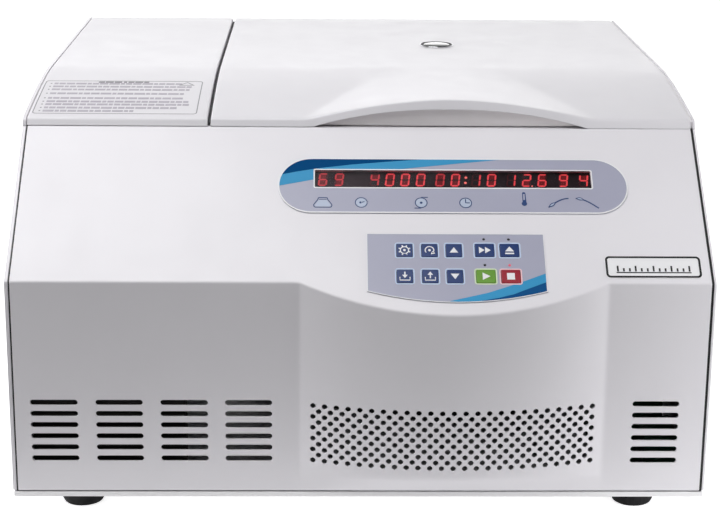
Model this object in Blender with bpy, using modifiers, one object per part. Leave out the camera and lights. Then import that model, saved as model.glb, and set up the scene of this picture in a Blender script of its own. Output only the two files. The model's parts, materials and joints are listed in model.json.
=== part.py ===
"""Benchtop refrigerated laboratory centrifuge with a swing-out rotor.

Units are metres and +Z is up. The front faces -Y. The origin is on the bench,
in the middle of the machine's outline. The lid is modelled closed, the buckets
hang down and the lock bolt is drawn back.
"""

import math

import bmesh
import bpy
from mathutils import Matrix, Vector

# ---------------------------------------------------------- shared dimensions
WIDTH = 0.650
SIDE_SHEET = 0.003              # side panels
SHEET = 0.0025                  # front, rear and top panels, and the chamber deck
GAP = 0.0003                    # between pieces that touch
HALF = WIDTH / 2
INNER = HALF - SIDE_SHEET - 0.0012  # half width of the panels between the sides

FRONT_Y = -0.3190               # lower front panel
BACK_Y = 0.3440
FOOT_H = 0.0236
TRAY_TOP = 0.0285
TRAY_FLOOR = 0.0020             # thickness
ON_TRAY = FOOT_H + TRAY_FLOOR + GAP  # underside of what stands in the tray
PANEL_BOTTOM = 0.0288
SETBACK = 0.0005                # tray and side panels stay this far inside the outline
KINK_Z = 0.2320                 # where the front panel bends back
FASCIA_TOP = (-0.1767, 0.3500)  # (y, z)
FASCIA_FLANGE_Y = FASCIA_TOP[0] + 0.0150  # back edge of the fascia's level flange
FASCIA_DIR = Vector((0.0, FASCIA_TOP[0] - FRONT_Y, FASCIA_TOP[1] - KINK_Z)).normalized()
FASCIA_OUT = Vector((0.0, -FASCIA_DIR.z, FASCIA_DIR.y))

TOP_Z = 0.3755                  # flat top of the lid and of the cover
LIP_Y = -0.1805                 # front lip of the lid and of the cover
LIP_LOW = 0.3508
LIP_ROUND = 0.0025              # depth of the bend above the lip
LIP_FACE_DROP = 0.0043          # top of the lip's upright face, below the shoulder
LIP_BEND_DROP = 0.0015          # back of the bend, below the shoulder
SHOULDER_Y = -0.1720            # where the top starts behind the lip
SHOULDER_Z = 0.3575
REAR_FOLD_LOW = 0.3560          # bottom of the rear fold of lid and cover

COVER_RIGHT = -0.1495           # the fixed left cover ends here
LID_LEFT = -0.1465
LID_RIGHT = INNER
LID_BACK = 0.3395
LID_MID = 0.0870

CHAMBER = (LID_MID, 0.0750)
DECK_TOP = 0.3360

# ------------------------------------------------------------------ the scene
for old in list(bpy.data.objects):
    bpy.data.objects.remove(old, do_unlink=True)
for old in list(bpy.data.collections):
    bpy.data.collections.remove(old)

PARTS = bpy.data.collections.new("laboratory_centrifuge")
CUTTERS = bpy.data.collections.new("cutters")
bpy.context.scene.collection.children.link(PARTS)
bpy.context.scene.collection.children.link(CUTTERS)


def material(name, colour, roughness, metallic=0.0, alpha=1.0):
    mat = bpy.data.materials.new(name)
    mat.use_nodes = True
    shader = mat.node_tree.nodes["Principled BSDF"]
    shader.inputs["Base Color"].default_value = (*colour, 1.0)
    shader.inputs["Roughness"].default_value = roughness
    shader.inputs["Metallic"].default_value = metallic
    shader.inputs["Alpha"].default_value = alpha
    mat.diffuse_color = (*colour, alpha)
    return mat


WHITE = material("white_paint", colour=(0.83, 0.83, 0.85), roughness=0.35)
TRAY_PAINT = material("tray_paint", colour=(0.74, 0.74, 0.76), roughness=0.40)
LINER = material("liner_plastic", colour=(0.62, 0.60, 0.60), roughness=0.45)
STEEL = material("stainless_steel", colour=(0.66, 0.66, 0.68), roughness=0.28, metallic=1.0)
DARK_STEEL = material("dark_steel", colour=(0.30, 0.30, 0.32), roughness=0.45, metallic=1.0)
ALLOY = material("alloy", colour=(0.70, 0.71, 0.73), roughness=0.35, metallic=1.0)
CHROME = material("chrome", colour=(0.85, 0.85, 0.87), roughness=0.10, metallic=1.0)
RUBBER = material("rubber", colour=(0.02, 0.02, 0.02), roughness=0.75)
SEAL = material("seal_rubber", colour=(0.10, 0.10, 0.11), roughness=0.70)
COPPER = material("copper", colour=(0.72, 0.38, 0.22), roughness=0.30, metallic=1.0)
BLACK = material("black_plastic", colour=(0.03, 0.03, 0.03), roughness=0.50)
OVERLAY = material("overlay_film", colour=(0.36, 0.38, 0.50), roughness=0.30)
SMOKED = material("smoked_acrylic", colour=(0.03, 0.02, 0.03), roughness=0.12)
CLEAR = material("clear_acrylic", colour=(0.80, 0.83, 0.85), roughness=0.08, alpha=0.45)
BLUE_KEY = material("blue_key", colour=(0.02, 0.09, 0.30), roughness=0.40)
GREEN_KEY = material("green_key", colour=(0.16, 0.42, 0.06), roughness=0.40)
RED_KEY = material("red_key", colour=(0.45, 0.02, 0.04), roughness=0.40)
BOARD = material("circuit_board", colour=(0.03, 0.20, 0.09), roughness=0.50)
MOTOR_PAINT = material("motor_paint", colour=(0.10, 0.11, 0.13), roughness=0.45)


# ------------------------------------------------------------- making objects
def at(x, y, z=0.0):
    return Matrix.Translation((x, y, z))


def place(mesh, name, mat=None, matrix=None):
    """Add a mesh to the scene. Without a material it is a hidden cutter."""
    obj = bpy.data.objects.new(name, mesh)
    if matrix is not None:
        obj.matrix_world = matrix
    if mat is None:
        CUTTERS.objects.link(obj)
        obj.hide_render = True
        obj.display_type = "WIRE"
    else:
        PARTS.objects.link(obj)
        mesh.materials.clear()
        mesh.materials.append(mat)
    return obj


def mesh_from(draft, name):
    mesh = bpy.data.meshes.new(name)
    draft.to_mesh(mesh)
    draft.free()
    return mesh


def smooth(obj, angle=40.0):
    obj.data.shade_smooth()
    obj.data.set_sharp_from_angle(angle=math.radians(angle))


def add_block(draft, size, centre=(0, 0, 0)):
    made = bmesh.ops.create_cube(draft, size=1.0)["verts"]
    bmesh.ops.scale(draft, vec=size, verts=made)
    bmesh.ops.translate(draft, vec=centre, verts=made)
    return made


def box(name, low, high, mat=None):
    """One block, with its origin in its middle."""
    low, high = Vector(low), Vector(high)
    draft = bmesh.new()
    add_block(draft, high - low)
    return place(mesh_from(draft, name), name, mat, Matrix.Translation((low + high) / 2))


def boxes(name, corners):
    """A cutter of several separate blocks, each given by its low and high corner."""
    draft = bmesh.new()
    for low, high in corners:
        low, high = Vector(low), Vector(high)
        add_block(draft, high - low, (low + high) / 2)
    return place(mesh_from(draft, name), name)


def rod(name, start, end, radius, sides=20, mat=None):
    start, end = Vector(start), Vector(end)
    along = end - start
    draft = bmesh.new()
    bmesh.ops.create_cone(
        draft, cap_ends=True, segments=sides, radius1=radius, radius2=radius, depth=along.length
    )
    turn = Vector((0, 0, 1)).rotation_difference(along).to_matrix().to_4x4()
    matrix = Matrix.Translation((start + end) / 2) @ turn
    return place(mesh_from(draft, name), name, mat, matrix)


def outline(name, loops, low, high, matrix, mat=None):
    """A flat outline, any holes as further loops, from depth low to high along its normal."""
    curve = bpy.data.curves.new(name, "CURVE")
    curve.dimensions = "2D"
    curve.fill_mode = "BOTH"
    curve.extrude = (high - low) / 2
    for loop in loops:
        spline = curve.splines.new("POLY")
        spline.points.add(len(loop) - 1)
        for point, (across, up) in zip(spline.points, loop):
            point.co = (across, up, 0.0, 1.0)
        spline.use_cyclic_u = True
    flat = bpy.data.objects.new(name + "_outline", curve)
    bpy.context.scene.collection.objects.link(flat)
    graph = bpy.context.evaluated_depsgraph_get()
    mesh = bpy.data.meshes.new_from_object(flat.evaluated_get(graph))
    bpy.data.objects.remove(flat, do_unlink=True)
    draft = bmesh.new()
    draft.from_mesh(mesh)
    bmesh.ops.remove_doubles(draft, verts=draft.verts, dist=1e-6)
    bmesh.ops.recalc_face_normals(draft, faces=draft.faces)
    draft.to_mesh(mesh)
    draft.free()
    mesh.name = name
    return place(mesh, name, mat, matrix @ at(0, 0, (low + high) / 2))


def turned(name, profile, matrix, mat, steps, closed=False, soft=True):
    """A piece turned about Z. The profile is (radius, height)."""
    mesh = bpy.data.meshes.new(name)
    points = [(radius, 0.0, z) for radius, z in profile]
    edges = [(i, i + 1) for i in range(len(points) - 1)]
    if closed:
        edges.append((len(points) - 1, 0))
    mesh.from_pydata(points, edges, [])
    obj = place(mesh, name, mat, matrix)
    screw = obj.modifiers.new("turn", "SCREW")
    screw.axis = "Z"
    screw.angle = 2 * math.pi
    screw.steps = screw.render_steps = steps
    screw.use_merge_vertices = True
    screw.merge_threshold = 1e-5
    screw.use_smooth_shade = False
    if soft:
        smooth(obj)
    return obj


def combine(obj, other, operation):
    modifier = obj.modifiers.new(operation.lower(), "BOOLEAN")
    modifier.operation = operation
    modifier.solver = "EXACT"
    modifier.object = other


def cut(obj, other):
    combine(obj, other, "DIFFERENCE")


def join(obj, other):
    combine(obj, other, "UNION")


def hang(name, position, pieces):
    """Parent the pieces to a new empty on their axis, without moving them."""
    empty = bpy.data.objects.new(name, None)
    empty.location = position
    empty.empty_display_size = 0.03
    PARTS.objects.link(empty)
    for piece in pieces:
        piece.parent = empty
        piece.matrix_parent_inverse = Matrix.Translation(empty.location).inverted()


# ------------------------------------------------------------ drawing outlines
def arc(centre, radius, degrees):
    angles = [math.radians(degree) for degree in degrees]
    return [
        (centre[0] + radius * math.cos(angle), centre[1] + radius * math.sin(angle))
        for angle in angles
    ]


def circle(centre, radius, steps):
    return arc(centre, radius, [360 * k / steps for k in range(steps)])


def rounded(left, right, low, high, radius, steps=1):
    """A rectangle with round corners, anticlockwise."""
    near, far = left + radius, right - radius
    bottom, top = low + radius, high - radius
    points = []
    for corner, centre in enumerate(((far, top), (near, top), (near, bottom), (far, bottom))):
        points += arc(centre, radius, [90 * corner + 90 * k / steps for k in range(steps + 1)])
    return points


def bent_sheet(path, thickness):
    """The outline of a folded sheet: path is its outer side, the metal is on the path's right."""
    inner = []
    for i, point in enumerate(path):
        here = Vector(point)
        normals = []
        for start, end in ((i - 1, i), (i, i + 1)):
            if start >= 0 and end < len(path):
                along = (Vector(path[end]) - Vector(path[start])).normalized()
                normals.append(Vector((along.y, -along.x)))
        if len(normals) == 2:
            middle = (normals[0] + normals[1]).normalized()
            inner.append(here + middle * (thickness / middle.dot(normals[0])))
        else:
            inner.append(here + normals[0] * thickness)
    return [tuple(p) for p in path] + [tuple(p) for p in reversed(inner)]


def frame_matrix(origin, across, up, normal):
    return Matrix.Translation(origin) @ Matrix((across, up, normal)).transposed().to_4x4()


# Outlines drawn in (y, z) are pushed along +X; those in (x, z) along -Y.
YZ = frame_matrix((0, 0, 0), (0, 1, 0), (0, 0, 1), (1, 0, 0))
XZ = frame_matrix((0, 0, 0), (1, 0, 0), (0, 0, 1), (0, -1, 0))
XY = Matrix.Identity(4)
# (x, distance up the sloping fascia) pushed along its outward normal.
FASCIA = frame_matrix((0, FRONT_Y, KINK_Z), (1, 0, 0), FASCIA_DIR, FASCIA_OUT)


# --------------------------------------------------------- the top's own shape
ARC_HALF = 0.1370               # half width of the raised grip at the front
ARC_TAPER = 0.508               # half width lost per metre towards the back
ARC_HALF_MIN = 0.030
GRIP_POWER = 1.75               # how the grip rounds off sideways
FALL_POWER = 1.5                # how the top falls away towards the lip
COVER_STEPS = 9


def top_height(y):
    """Height of the plain top surface, which falls away to the front lip."""
    if y >= 0.0:
        return TOP_Z
    return TOP_Z - (TOP_Z - SHOULDER_Z) * (y / SHOULDER_Y) ** FALL_POWER


def lid_height(x, y):
    """The plain top with the grip raised in the middle of the lid."""
    grip_half = max(ARC_HALF_MIN, ARC_HALF - ARC_TAPER * (y - SHOULDER_Y))
    rise = max(0.0, 1.0 - (abs(x - LID_MID) / grip_half) ** GRIP_POWER)
    plain = top_height(y)
    return plain + (TOP_Z - plain) * rise


slope_path = [(SHOULDER_Y, SHOULDER_Z)]
for k in range(1, COVER_STEPS + 1):
    slope_y = SHOULDER_Y * (1 - k / COVER_STEPS)
    slope_path.append((slope_y, top_height(slope_y)))

# ------------------------------------------------------------------ base tray
TRAY_WALL = 0.0025


def tray_block(name, inset, low, high, mat=None):
    edge_x, front_y, back_y = HALF - inset, FRONT_Y + inset, BACK_Y - inset
    return box(name, (-edge_x, front_y, low), (edge_x, back_y, high), mat)


tray = tray_block("base_tray", SETBACK, FOOT_H, TRAY_TOP, TRAY_PAINT)
cut(tray, tray_block("tray_hollow", SETBACK + TRAY_WALL, FOOT_H + TRAY_FLOOR, 0.05))

# ------------------------------------------------------- side and rear panels
VENT_W, VENT_H, VENT_PITCH = 0.080, 0.006, 0.016
VENT_ROUND = 0.0024
INLET_X, INLET_Z = (0.190, 0.244), (0.060, 0.090)
REAR_PANEL_TOP = 0.3540


def vents(columns, lowest, count):
    """Vent slots in upright columns, each column given by its low edge."""
    loops = []
    for column in columns:
        for row in range(count):
            z = lowest + row * VENT_PITCH
            loops.append(rounded(column, column + VENT_W, z, z + VENT_H, VENT_ROUND))
    return loops


side_path = [
    (FRONT_Y + SETBACK, PANEL_BOTTOM), (BACK_Y, PANEL_BOTTOM), (BACK_Y, TOP_Z - SETBACK),
    *[(y, z - SETBACK) for y, z in reversed(slope_path)],
    (FASCIA_TOP[0] - 0.0010, 0.3535), (FASCIA_TOP[0], FASCIA_TOP[1] - SETBACK),
    (FRONT_Y + SETBACK, KINK_Z - 0.0003),
]
side_loops = [side_path] + vents((0.020, 0.160), lowest=0.080, count=6)
outline("side_panel_left", side_loops, -HALF, -HALF + SIDE_SHEET, YZ, WHITE)
outline("side_panel_right", side_loops, HALF - SIDE_SHEET, HALF, YZ, WHITE)

rear_loops = [rounded(-INNER, INNER, PANEL_BOTTOM, REAR_PANEL_TOP, 0.003, 2)]
rear_loops += vents((-0.290, -0.190), lowest=0.070, count=7)
rear_loops.append(rounded(*INLET_X, *INLET_Z, 0.0002))
outline("rear_panel", rear_loops, -BACK_Y, -BACK_Y + SHEET, XZ, WHITE)

# ---------------------------------------------------------------- front panel
# One folded sheet with a bowed centre pressed into its lower half.
front_path = [
    (FRONT_Y + 0.016, PANEL_BOTTOM), (FRONT_Y, PANEL_BOTTOM), (FRONT_Y, KINK_Z), FASCIA_TOP,
    (FASCIA_FLANGE_Y, FASCIA_TOP[1]), (FASCIA_FLANGE_Y, DECK_TOP + GAP),
]
front = outline("front_panel", [bent_sheet(front_path, SHEET)], -INNER, INNER, YZ, WHITE)

BULGE_X = 0.0850
BULGE_DEPTH = 0.0250
BULGE_HALF = 0.1418
BULGE_BOTTOM = PANEL_BOTTOM + 0.0015
BULGE_CREASE = 0.0520           # height of the lower crease
BULGE_R = (BULGE_HALF**2 + BULGE_DEPTH**2) / (2 * BULGE_DEPTH)
BULGE_AXIS_Y = FRONT_Y - BULGE_DEPTH + BULGE_R
BULGE_STEPS = 20
# How far each edge moves in, as multiples of the inset.
INSET_SIDE, INSET_BOTTOM, INSET_CREASE, INSET_TOP = 1.8, 1.3, 0.45, 1.12


def bulge_block(name, inset):
    """The bow as a loft of upright sections.

    The fascia's plane cuts it above, and below its lower crease it slopes back.
    """
    slope = FASCIA_DIR.z / FASCIA_DIR.y
    radius = BULGE_R - inset
    half_angle = math.asin((BULGE_HALF + 0.0010 - inset * INSET_SIDE) / BULGE_R)
    reach = FRONT_Y + (0.0060 if inset else 0.0012)  # back of the block
    low = BULGE_BOTTOM + inset * INSET_BOTTOM
    crease = BULGE_CREASE + inset * INSET_CREASE
    top = KINK_Z - max(inset * INSET_TOP, 0.0001) / FASCIA_DIR.y
    share = inset * INSET_BOTTOM / (BULGE_CREASE - BULGE_BOTTOM)
    draft = bmesh.new()
    sections = []
    for k in range(BULGE_STEPS + 1):
        angle = -half_angle + 2 * half_angle * k / BULGE_STEPS
        x = BULGE_X + radius * math.sin(angle)
        y = BULGE_AXIS_Y - radius * math.cos(angle)
        foot = FRONT_Y + max(inset, 0.0005) - (FRONT_Y + inset - y) * share
        section = [
            (reach, low), (foot, low), (y, crease),
            (y, top + (y - FRONT_Y) * slope), (reach, top + (reach - FRONT_Y) * slope),
        ]
        sections.append([draft.verts.new((x, *point)) for point in section])
    for one, two in zip(sections, sections[1:]):
        for i in range(5):
            j = (i + 1) % 5
            draft.faces.new((one[i], one[j], two[j], two[i]))
    draft.faces.new(sections[0])
    draft.faces.new(sections[-1])
    bmesh.ops.triangulate(draft, faces=draft.faces)
    bmesh.ops.recalc_face_normals(draft, faces=draft.faces)
    return place(mesh_from(draft, name), name)


join(front, bulge_block("bulge_outside", 0.0))
cut(front, bulge_block("bulge_inside", SHEET))

SLOT_H = 0.0044
SLOT_ROWS = 6
SLOT_PITCH = 0.0110
SLOT_TOP = 0.1166               # middle of the top row
SLOT_COLUMNS = (                # (left, right)
    (-0.3055, -0.2623), (-0.2451, -0.2022), (-0.1852, -0.1420), (-0.1253, -0.0825),
    (0.2536, 0.2965),
)
slot_loops = []
for left, right in SLOT_COLUMNS:
    for row in range(SLOT_ROWS):
        z = SLOT_TOP - row * SLOT_PITCH
        slot = rounded(left, right, z - SLOT_H / 2, z + SLOT_H / 2, SLOT_H / 2 - 0.0005)
        slot_loops.append(slot)
cut(front, outline("front_slots", slot_loops, -FRONT_Y - 0.006, -FRONT_Y + 0.006, XZ))

# --------------------------------------------------------------------- fascia
# Spans here are (low, high) in x, then in distance up the fascia.
PILL = ((-0.0777, 0.2529), (0.0808, 0.1445))
WINDOW = ((-0.0430, 0.2185), (0.1105, 0.1300))
KEYPAD = ((0.0053, 0.1690), (-0.0064, 0.0571))
KEYPAD_SAG = 0.0110             # bow of the keypad's lower edge
KEYPAD_STEPS = 8
OPENING_FIT = 0.00035           # clearance round the keys and the window
FILM_TOP = 0.0010
SUNK = -0.0020                  # underside of the keys and the window
KEY_H = 0.0144
KEYS = (
    # name, x, distance up the fascia, width, material
    ("key_set", 0.0396, 0.0380, 0.0148, BLUE_KEY),
    ("key_rcf", 0.0627, 0.0380, 0.0148, BLUE_KEY),
    ("key_up", 0.0852, 0.0380, 0.0148, BLUE_KEY),
    ("key_fast", 0.1136, 0.0383, 0.0177, BLUE_KEY),
    ("key_open", 0.1366, 0.0383, 0.0177, BLUE_KEY),
    ("key_save", 0.0394, 0.0093, 0.0148, BLUE_KEY),
    ("key_call", 0.0626, 0.0093, 0.0148, BLUE_KEY),
    ("key_down", 0.0853, 0.0093, 0.0148, BLUE_KEY),
    ("key_start", 0.1135, 0.0094, 0.0177, GREEN_KEY),
    ("key_stop", 0.1364, 0.0094, 0.0177, RED_KEY),
)


def opening(left, right, low, high, radius):
    fit = OPENING_FIT
    return rounded(left - fit, right + fit, low - fit, high + fit, radius)


key_loops = [
    opening(x - width / 2, x + width / 2, up - KEY_H / 2, up + KEY_H / 2, 0.0011)
    for _, x, up, width, _ in KEYS
]
window_loop = opening(*WINDOW[0], *WINDOW[1], 0.0009)
cut(front, outline("fascia_openings", key_loops + [window_loop], -0.006, 0.004, FASCIA))

pill_loop = rounded(*PILL[0], *PILL[1], (PILL[1][1] - PILL[1][0]) / 2 - 0.0002, 8)
outline("display_overlay", [pill_loop, window_loop], GAP, FILM_TOP, FASCIA, OVERLAY)
window_edge = rounded(*WINDOW[0], *WINDOW[1], 0.0012, 2)
outline("display_window", [window_edge], SUNK, 0.0012, FASCIA, SMOKED)

(keypad_left, keypad_right), (keypad_low, keypad_high) = KEYPAD
keypad_edge = []
for k in range(KEYPAD_STEPS + 1):
    share = k / KEYPAD_STEPS
    sag = KEYPAD_SAG * (1 - (2 * share - 1) ** 2)
    keypad_edge.append((keypad_left + (keypad_right - keypad_left) * share, keypad_low - sag))
keypad_edge += [(keypad_right, keypad_high), (keypad_left, keypad_high)]
outline("keypad_overlay", [keypad_edge] + key_loops, GAP, FILM_TOP, FASCIA, OVERLAY)
control_edge = rounded(-0.060, 0.235, 0.004, 0.136, 0.003)
outline("control_board", [control_edge], -0.0100, -0.0084, FASCIA, BOARD)

for name, x, up, width, mat in KEYS:
    key_edge = rounded(-width / 2, width / 2, -KEY_H / 2, KEY_H / 2, 0.0013, 2)
    key = outline(name, [key_edge], SUNK, 0.0016, FASCIA @ at(x, up), mat)
    bevel = key.modifiers.new("edge", "BEVEL")
    bevel.width = 0.0004
    bevel.segments = 1
    bevel.limit_method = "ANGLE"
    bevel.angle_limit = math.radians(60)

# ------------------------------------------------------------- top left cover
cover_path = [
    (LIP_Y, LIP_LOW), (LIP_Y, SHOULDER_Z - LIP_FACE_DROP),
    (LIP_Y + LIP_ROUND, SHOULDER_Z - LIP_BEND_DROP),
    *slope_path, (LID_BACK, TOP_Z), (LID_BACK, REAR_FOLD_LOW),
]
outline("top_left_cover", [bent_sheet(cover_path, SHEET)], -INNER, COVER_RIGHT, YZ, WHITE)

# -------------------------------------------------------------------- chamber
BOWL_R = 0.1830
BOWL_OUT = BOWL_R + 0.0015      # outer radius
BOWL_FLOOR = 0.1300
BOWL_UNDER = BOWL_FLOOR - 0.0015
BOWL_HOLE_R = 0.0220            # round the spindle
BOWL_CHAMFER = 0.010
BOWL_RIM_R = BOWL_R + 0.0090
BOWL_RIM_TOP = DECK_TOP + 0.0018
LOCK_Y = -0.1405
SLOT_HALF = 0.0045              # striker slot in the deck and the lock
SLOT_Y = (LOCK_Y - 0.0120, LOCK_Y + 0.0095)

deck_edge = rounded(LID_LEFT - 0.0010, INNER - 0.0003, FASCIA_FLANGE_Y + GAP, 0.3255, 0.004)
deck_slot = rounded(LID_MID - SLOT_HALF, LID_MID + SLOT_HALF, *SLOT_Y, 0.001)
deck_loops = [deck_edge, circle(CHAMBER, BOWL_R + 0.0030, 48), deck_slot]
outline("chamber_deck", deck_loops, DECK_TOP - SHEET, DECK_TOP, XY, WHITE)

bowl_profile = [
    (BOWL_RIM_R, BOWL_RIM_TOP), (BOWL_RIM_R, DECK_TOP + GAP), (BOWL_OUT, DECK_TOP + GAP),
    (BOWL_OUT, BOWL_FLOOR + BOWL_CHAMFER), (BOWL_OUT - BOWL_CHAMFER, BOWL_UNDER),
    (BOWL_HOLE_R, BOWL_UNDER), (BOWL_HOLE_R, BOWL_FLOOR), (BOWL_R - BOWL_CHAMFER, BOWL_FLOOR),
    (BOWL_R, BOWL_FLOOR + BOWL_CHAMFER), (BOWL_R, BOWL_RIM_TOP),
]
turned("chamber_bowl", bowl_profile, at(*CHAMBER), STEEL, 36, closed=True)

SEAL_LOW = BOWL_RIM_TOP + GAP
SEAL_EDGE, SEAL_TOP = 0.3440, 0.3464
seal_profile = [
    (BOWL_R + 0.0080, SEAL_EDGE), (BOWL_R + 0.0090, SEAL_LOW + 0.001),
    (BOWL_R + 0.0085, SEAL_LOW), (BOWL_R + 0.0010, SEAL_LOW), (BOWL_R + 0.0010, SEAL_EDGE),
    (BOWL_R + 0.0035, SEAL_TOP), (BOWL_R + 0.0060, SEAL_TOP),
]
turned("chamber_seal", seal_profile, at(*CHAMBER), SEAL, 32, closed=True)

RING_IN, RING_OUT, RING_TOP = 0.1945, 0.2005, 0.3330
ring_profile = [
    (RING_OUT, RING_TOP), (RING_OUT, ON_TRAY), (RING_IN, ON_TRAY), (RING_IN, RING_TOP),
]
turned("guard_ring", ring_profile, at(*CHAMBER), DARK_STEEL, 36, closed=True)

# ----------------------------------------------------------- evaporator coil
COIL_R, TUBE_R = 0.1898, 0.0032
COIL_LOW, COIL_RISE = 0.155, 0.150
COIL_TURNS, COIL_STEPS = 4, 24  # steps per turn

coil = bpy.data.curves.new("evaporator_coil", "CURVE")
coil.dimensions = "3D"
coil.bevel_depth = TUBE_R
coil.bevel_resolution = 1
coil.use_fill_caps = True
coil_spline = coil.splines.new("POLY")
coil_spline.points.add(COIL_TURNS * COIL_STEPS)
for k, point in enumerate(coil_spline.points):
    angle = 2 * math.pi * k / COIL_STEPS
    z = COIL_LOW + COIL_RISE * k / (COIL_TURNS * COIL_STEPS)
    point.co = (COIL_R * math.cos(angle), COIL_R * math.sin(angle), z, 1.0)
coil_obj = bpy.data.objects.new("evaporator_coil", coil)
coil_obj.location = (*CHAMBER, 0)
coil.materials.append(COPPER)
PARTS.objects.link(coil_obj)

# ---------------------------------------------------------------------- motor
DAMPER_H = 0.020
DAMPER_CIRCLE = 0.078           # dampers, from the motor's axis
PLATE_LOW = ON_TRAY + DAMPER_H + GAP
PLATE_TOP = PLATE_LOW + 0.0040
MOTOR_LOW = PLATE_TOP + GAP
MOTOR_TOP = 0.1120

damper_profile = [
    (0, DAMPER_H), (0.012, DAMPER_H), (0.014, 0.017), (0.011, 0.010), (0.014, 0.003),
    (0.012, 0), (0, 0),
]
for k, (x, y) in enumerate(arc(CHAMBER, DAMPER_CIRCLE, (90, 210, 330))):
    turned(f"motor_damper_{k + 1}", damper_profile, at(x, y, ON_TRAY), RUBBER, 16)
outline("motor_plate", [circle(CHAMBER, 0.096, 24)], PLATE_LOW, PLATE_TOP, XY, DARK_STEEL)
motor_profile = [
    (0, MOTOR_TOP), (0.030, MOTOR_TOP), (0.030, 0.1050), (0.056, 0.1040), (0.062, 0.0980),
    (0.062, MOTOR_LOW + 0.010), (0.056, MOTOR_LOW + 0.002), (0.056, MOTOR_LOW), (0, MOTOR_LOW),
]
turned("motor_housing", motor_profile, at(*CHAMBER), MOTOR_PAINT, 28)

# ---------------------------------------------------------------------- rotor
PIVOT_R = 0.0980                # bucket trunnions, from the rotor's axis
PIVOT_Z = 0.2280
HEAD_R = 0.150
HEAD_HALF = 0.0100              # half thickness
NOTCH_HALF = 0.0375
NOTCH_FLOOR = 0.056             # from the rotor's axis
LOBE_STEPS = 7
GROOVE_HALF = 0.0046
GROOVE_ENDS = (0.0370, 0.0485)  # from the notch's centre line
TRUNNION_R = 0.0040
TRUNNION_START, TRUNNION_LENGTH = 0.0330, 0.0135

SPINDLE_LOW, SPINDLE_TOP = 0.1125, PIVOT_Z - HEAD_HALF - GAP
spindle_profile = [
    (0, SPINDLE_TOP), (0.016, SPINDLE_TOP), (0.018, 0.190), (0.014, 0.150),
    (0.012, SPINDLE_LOW), (0, SPINDLE_LOW),
]
spindle = turned("drive_spindle", spindle_profile, at(*CHAMBER), STEEL, 24)

# The head is a disc with four notches, each open outwards, and four lobes between them.
notch_reach = math.sqrt(HEAD_R**2 - NOTCH_HALF**2)
lobe_start = math.degrees(math.atan2(NOTCH_HALF, notch_reach))
notch = (
    (notch_reach, -NOTCH_HALF), (NOTCH_FLOOR, -NOTCH_HALF),
    (NOTCH_FLOOR, NOTCH_HALF), (notch_reach, NOTCH_HALF),
)
head_loop = []
grooves = []
for q in range(4):
    turn = Matrix.Rotation(math.radians(90 * q), 2)
    head_loop += [tuple(turn @ Vector(point)) for point in notch]
    head_loop += arc((0, 0), HEAD_R, [
        90 * q + lobe_start + (90 - 2 * lobe_start) * k / LOBE_STEPS for k in range(1, LOBE_STEPS)
    ])
    for side in (-1, 1):
        near = turn @ Vector((PIVOT_R - GROOVE_HALF, side * GROOVE_ENDS[0]))
        far = turn @ Vector((PIVOT_R + GROOVE_HALF, side * GROOVE_ENDS[1]))
        low_x, high_x = sorted((CHAMBER[0] + near.x, CHAMBER[0] + far.x))
        low_y, high_y = sorted((CHAMBER[1] + near.y, CHAMBER[1] + far.y))
        low = (low_x, low_y, PIVOT_Z - GROOVE_HALF)
        grooves.append((low, (high_x, high_y, PIVOT_Z + 0.0200)))
head = outline("rotor_head", [head_loop], -HEAD_HALF, HEAD_HALF, at(*CHAMBER, PIVOT_Z), ALLOY)
cut(head, boxes("trunnion_grooves", grooves))

NUT_LOW = PIVOT_Z + HEAD_HALF + GAP
nut_profile = [
    (0, NUT_LOW + 0.022), (0.009, NUT_LOW + 0.022), (0.013, NUT_LOW + 0.018),
    (0.013, NUT_LOW + 0.008), (0.024, NUT_LOW + 0.006), (0.024, NUT_LOW), (0, NUT_LOW),
]
nut = turned("rotor_nut", nut_profile, at(*CHAMBER), STEEL, 24)
hang("rotor_axis", (*CHAMBER, PIVOT_Z), (spindle, head, nut))

# -------------------------------------------------------------------- buckets
BUCKET_R, BUCKET_BORE = 0.0345, 0.0310
BUCKET_TOP = 0.018              # above the trunnions
bucket_profile = [
    (0, -0.073), (0.024, -0.073), (BUCKET_BORE, -0.067), (BUCKET_BORE, BUCKET_TOP),
    (BUCKET_R, BUCKET_TOP), (BUCKET_R, -0.069), (0.026, -0.078), (0, -0.078),
]


def trunnions(name, matrix):
    """A pin on each side of a bucket, along its own Y."""
    draft = bmesh.new()
    for side in (-1, 1):
        made = bmesh.ops.create_cone(
            draft, cap_ends=True, segments=12,
            radius1=TRUNNION_R, radius2=TRUNNION_R, depth=TRUNNION_LENGTH,
        )["verts"]
        upright_to_y = Matrix.Rotation(math.pi / 2, 3, "X")
        bmesh.ops.rotate(draft, cent=(0, 0, 0), matrix=upright_to_y, verts=made)
        middle = (0, side * (TRUNNION_START + TRUNNION_LENGTH / 2), 0)
        bmesh.ops.translate(draft, vec=middle, verts=made)
    return place(mesh_from(draft, name), name, None, matrix)


for q, (x, y) in enumerate(circle(CHAMBER, PIVOT_R, 4)):
    where = at(x, y, PIVOT_Z) @ Matrix.Rotation(math.radians(90 * q), 4, "Z")
    bucket = turned(f"bucket_{q + 1}", bucket_profile, where, ALLOY, 24, soft=False)
    join(bucket, trunnions(f"trunnions_{q + 1}", where))

# -------------------------------------------------------------- refrigeration
COOLING_X = -0.236              # compressor, condenser and fan share this line
compressor_profile = [
    (0, 0.175), (0.030, 0.172), (0.052, 0.158), (0.063, 0.130), (0.063, 0.062),
    (0.055, 0.042), (0.050, ON_TRAY), (0, ON_TRAY),
]
turned("compressor", compressor_profile, at(COOLING_X, 0.090), MOTOR_PAINT, 28)

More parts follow.
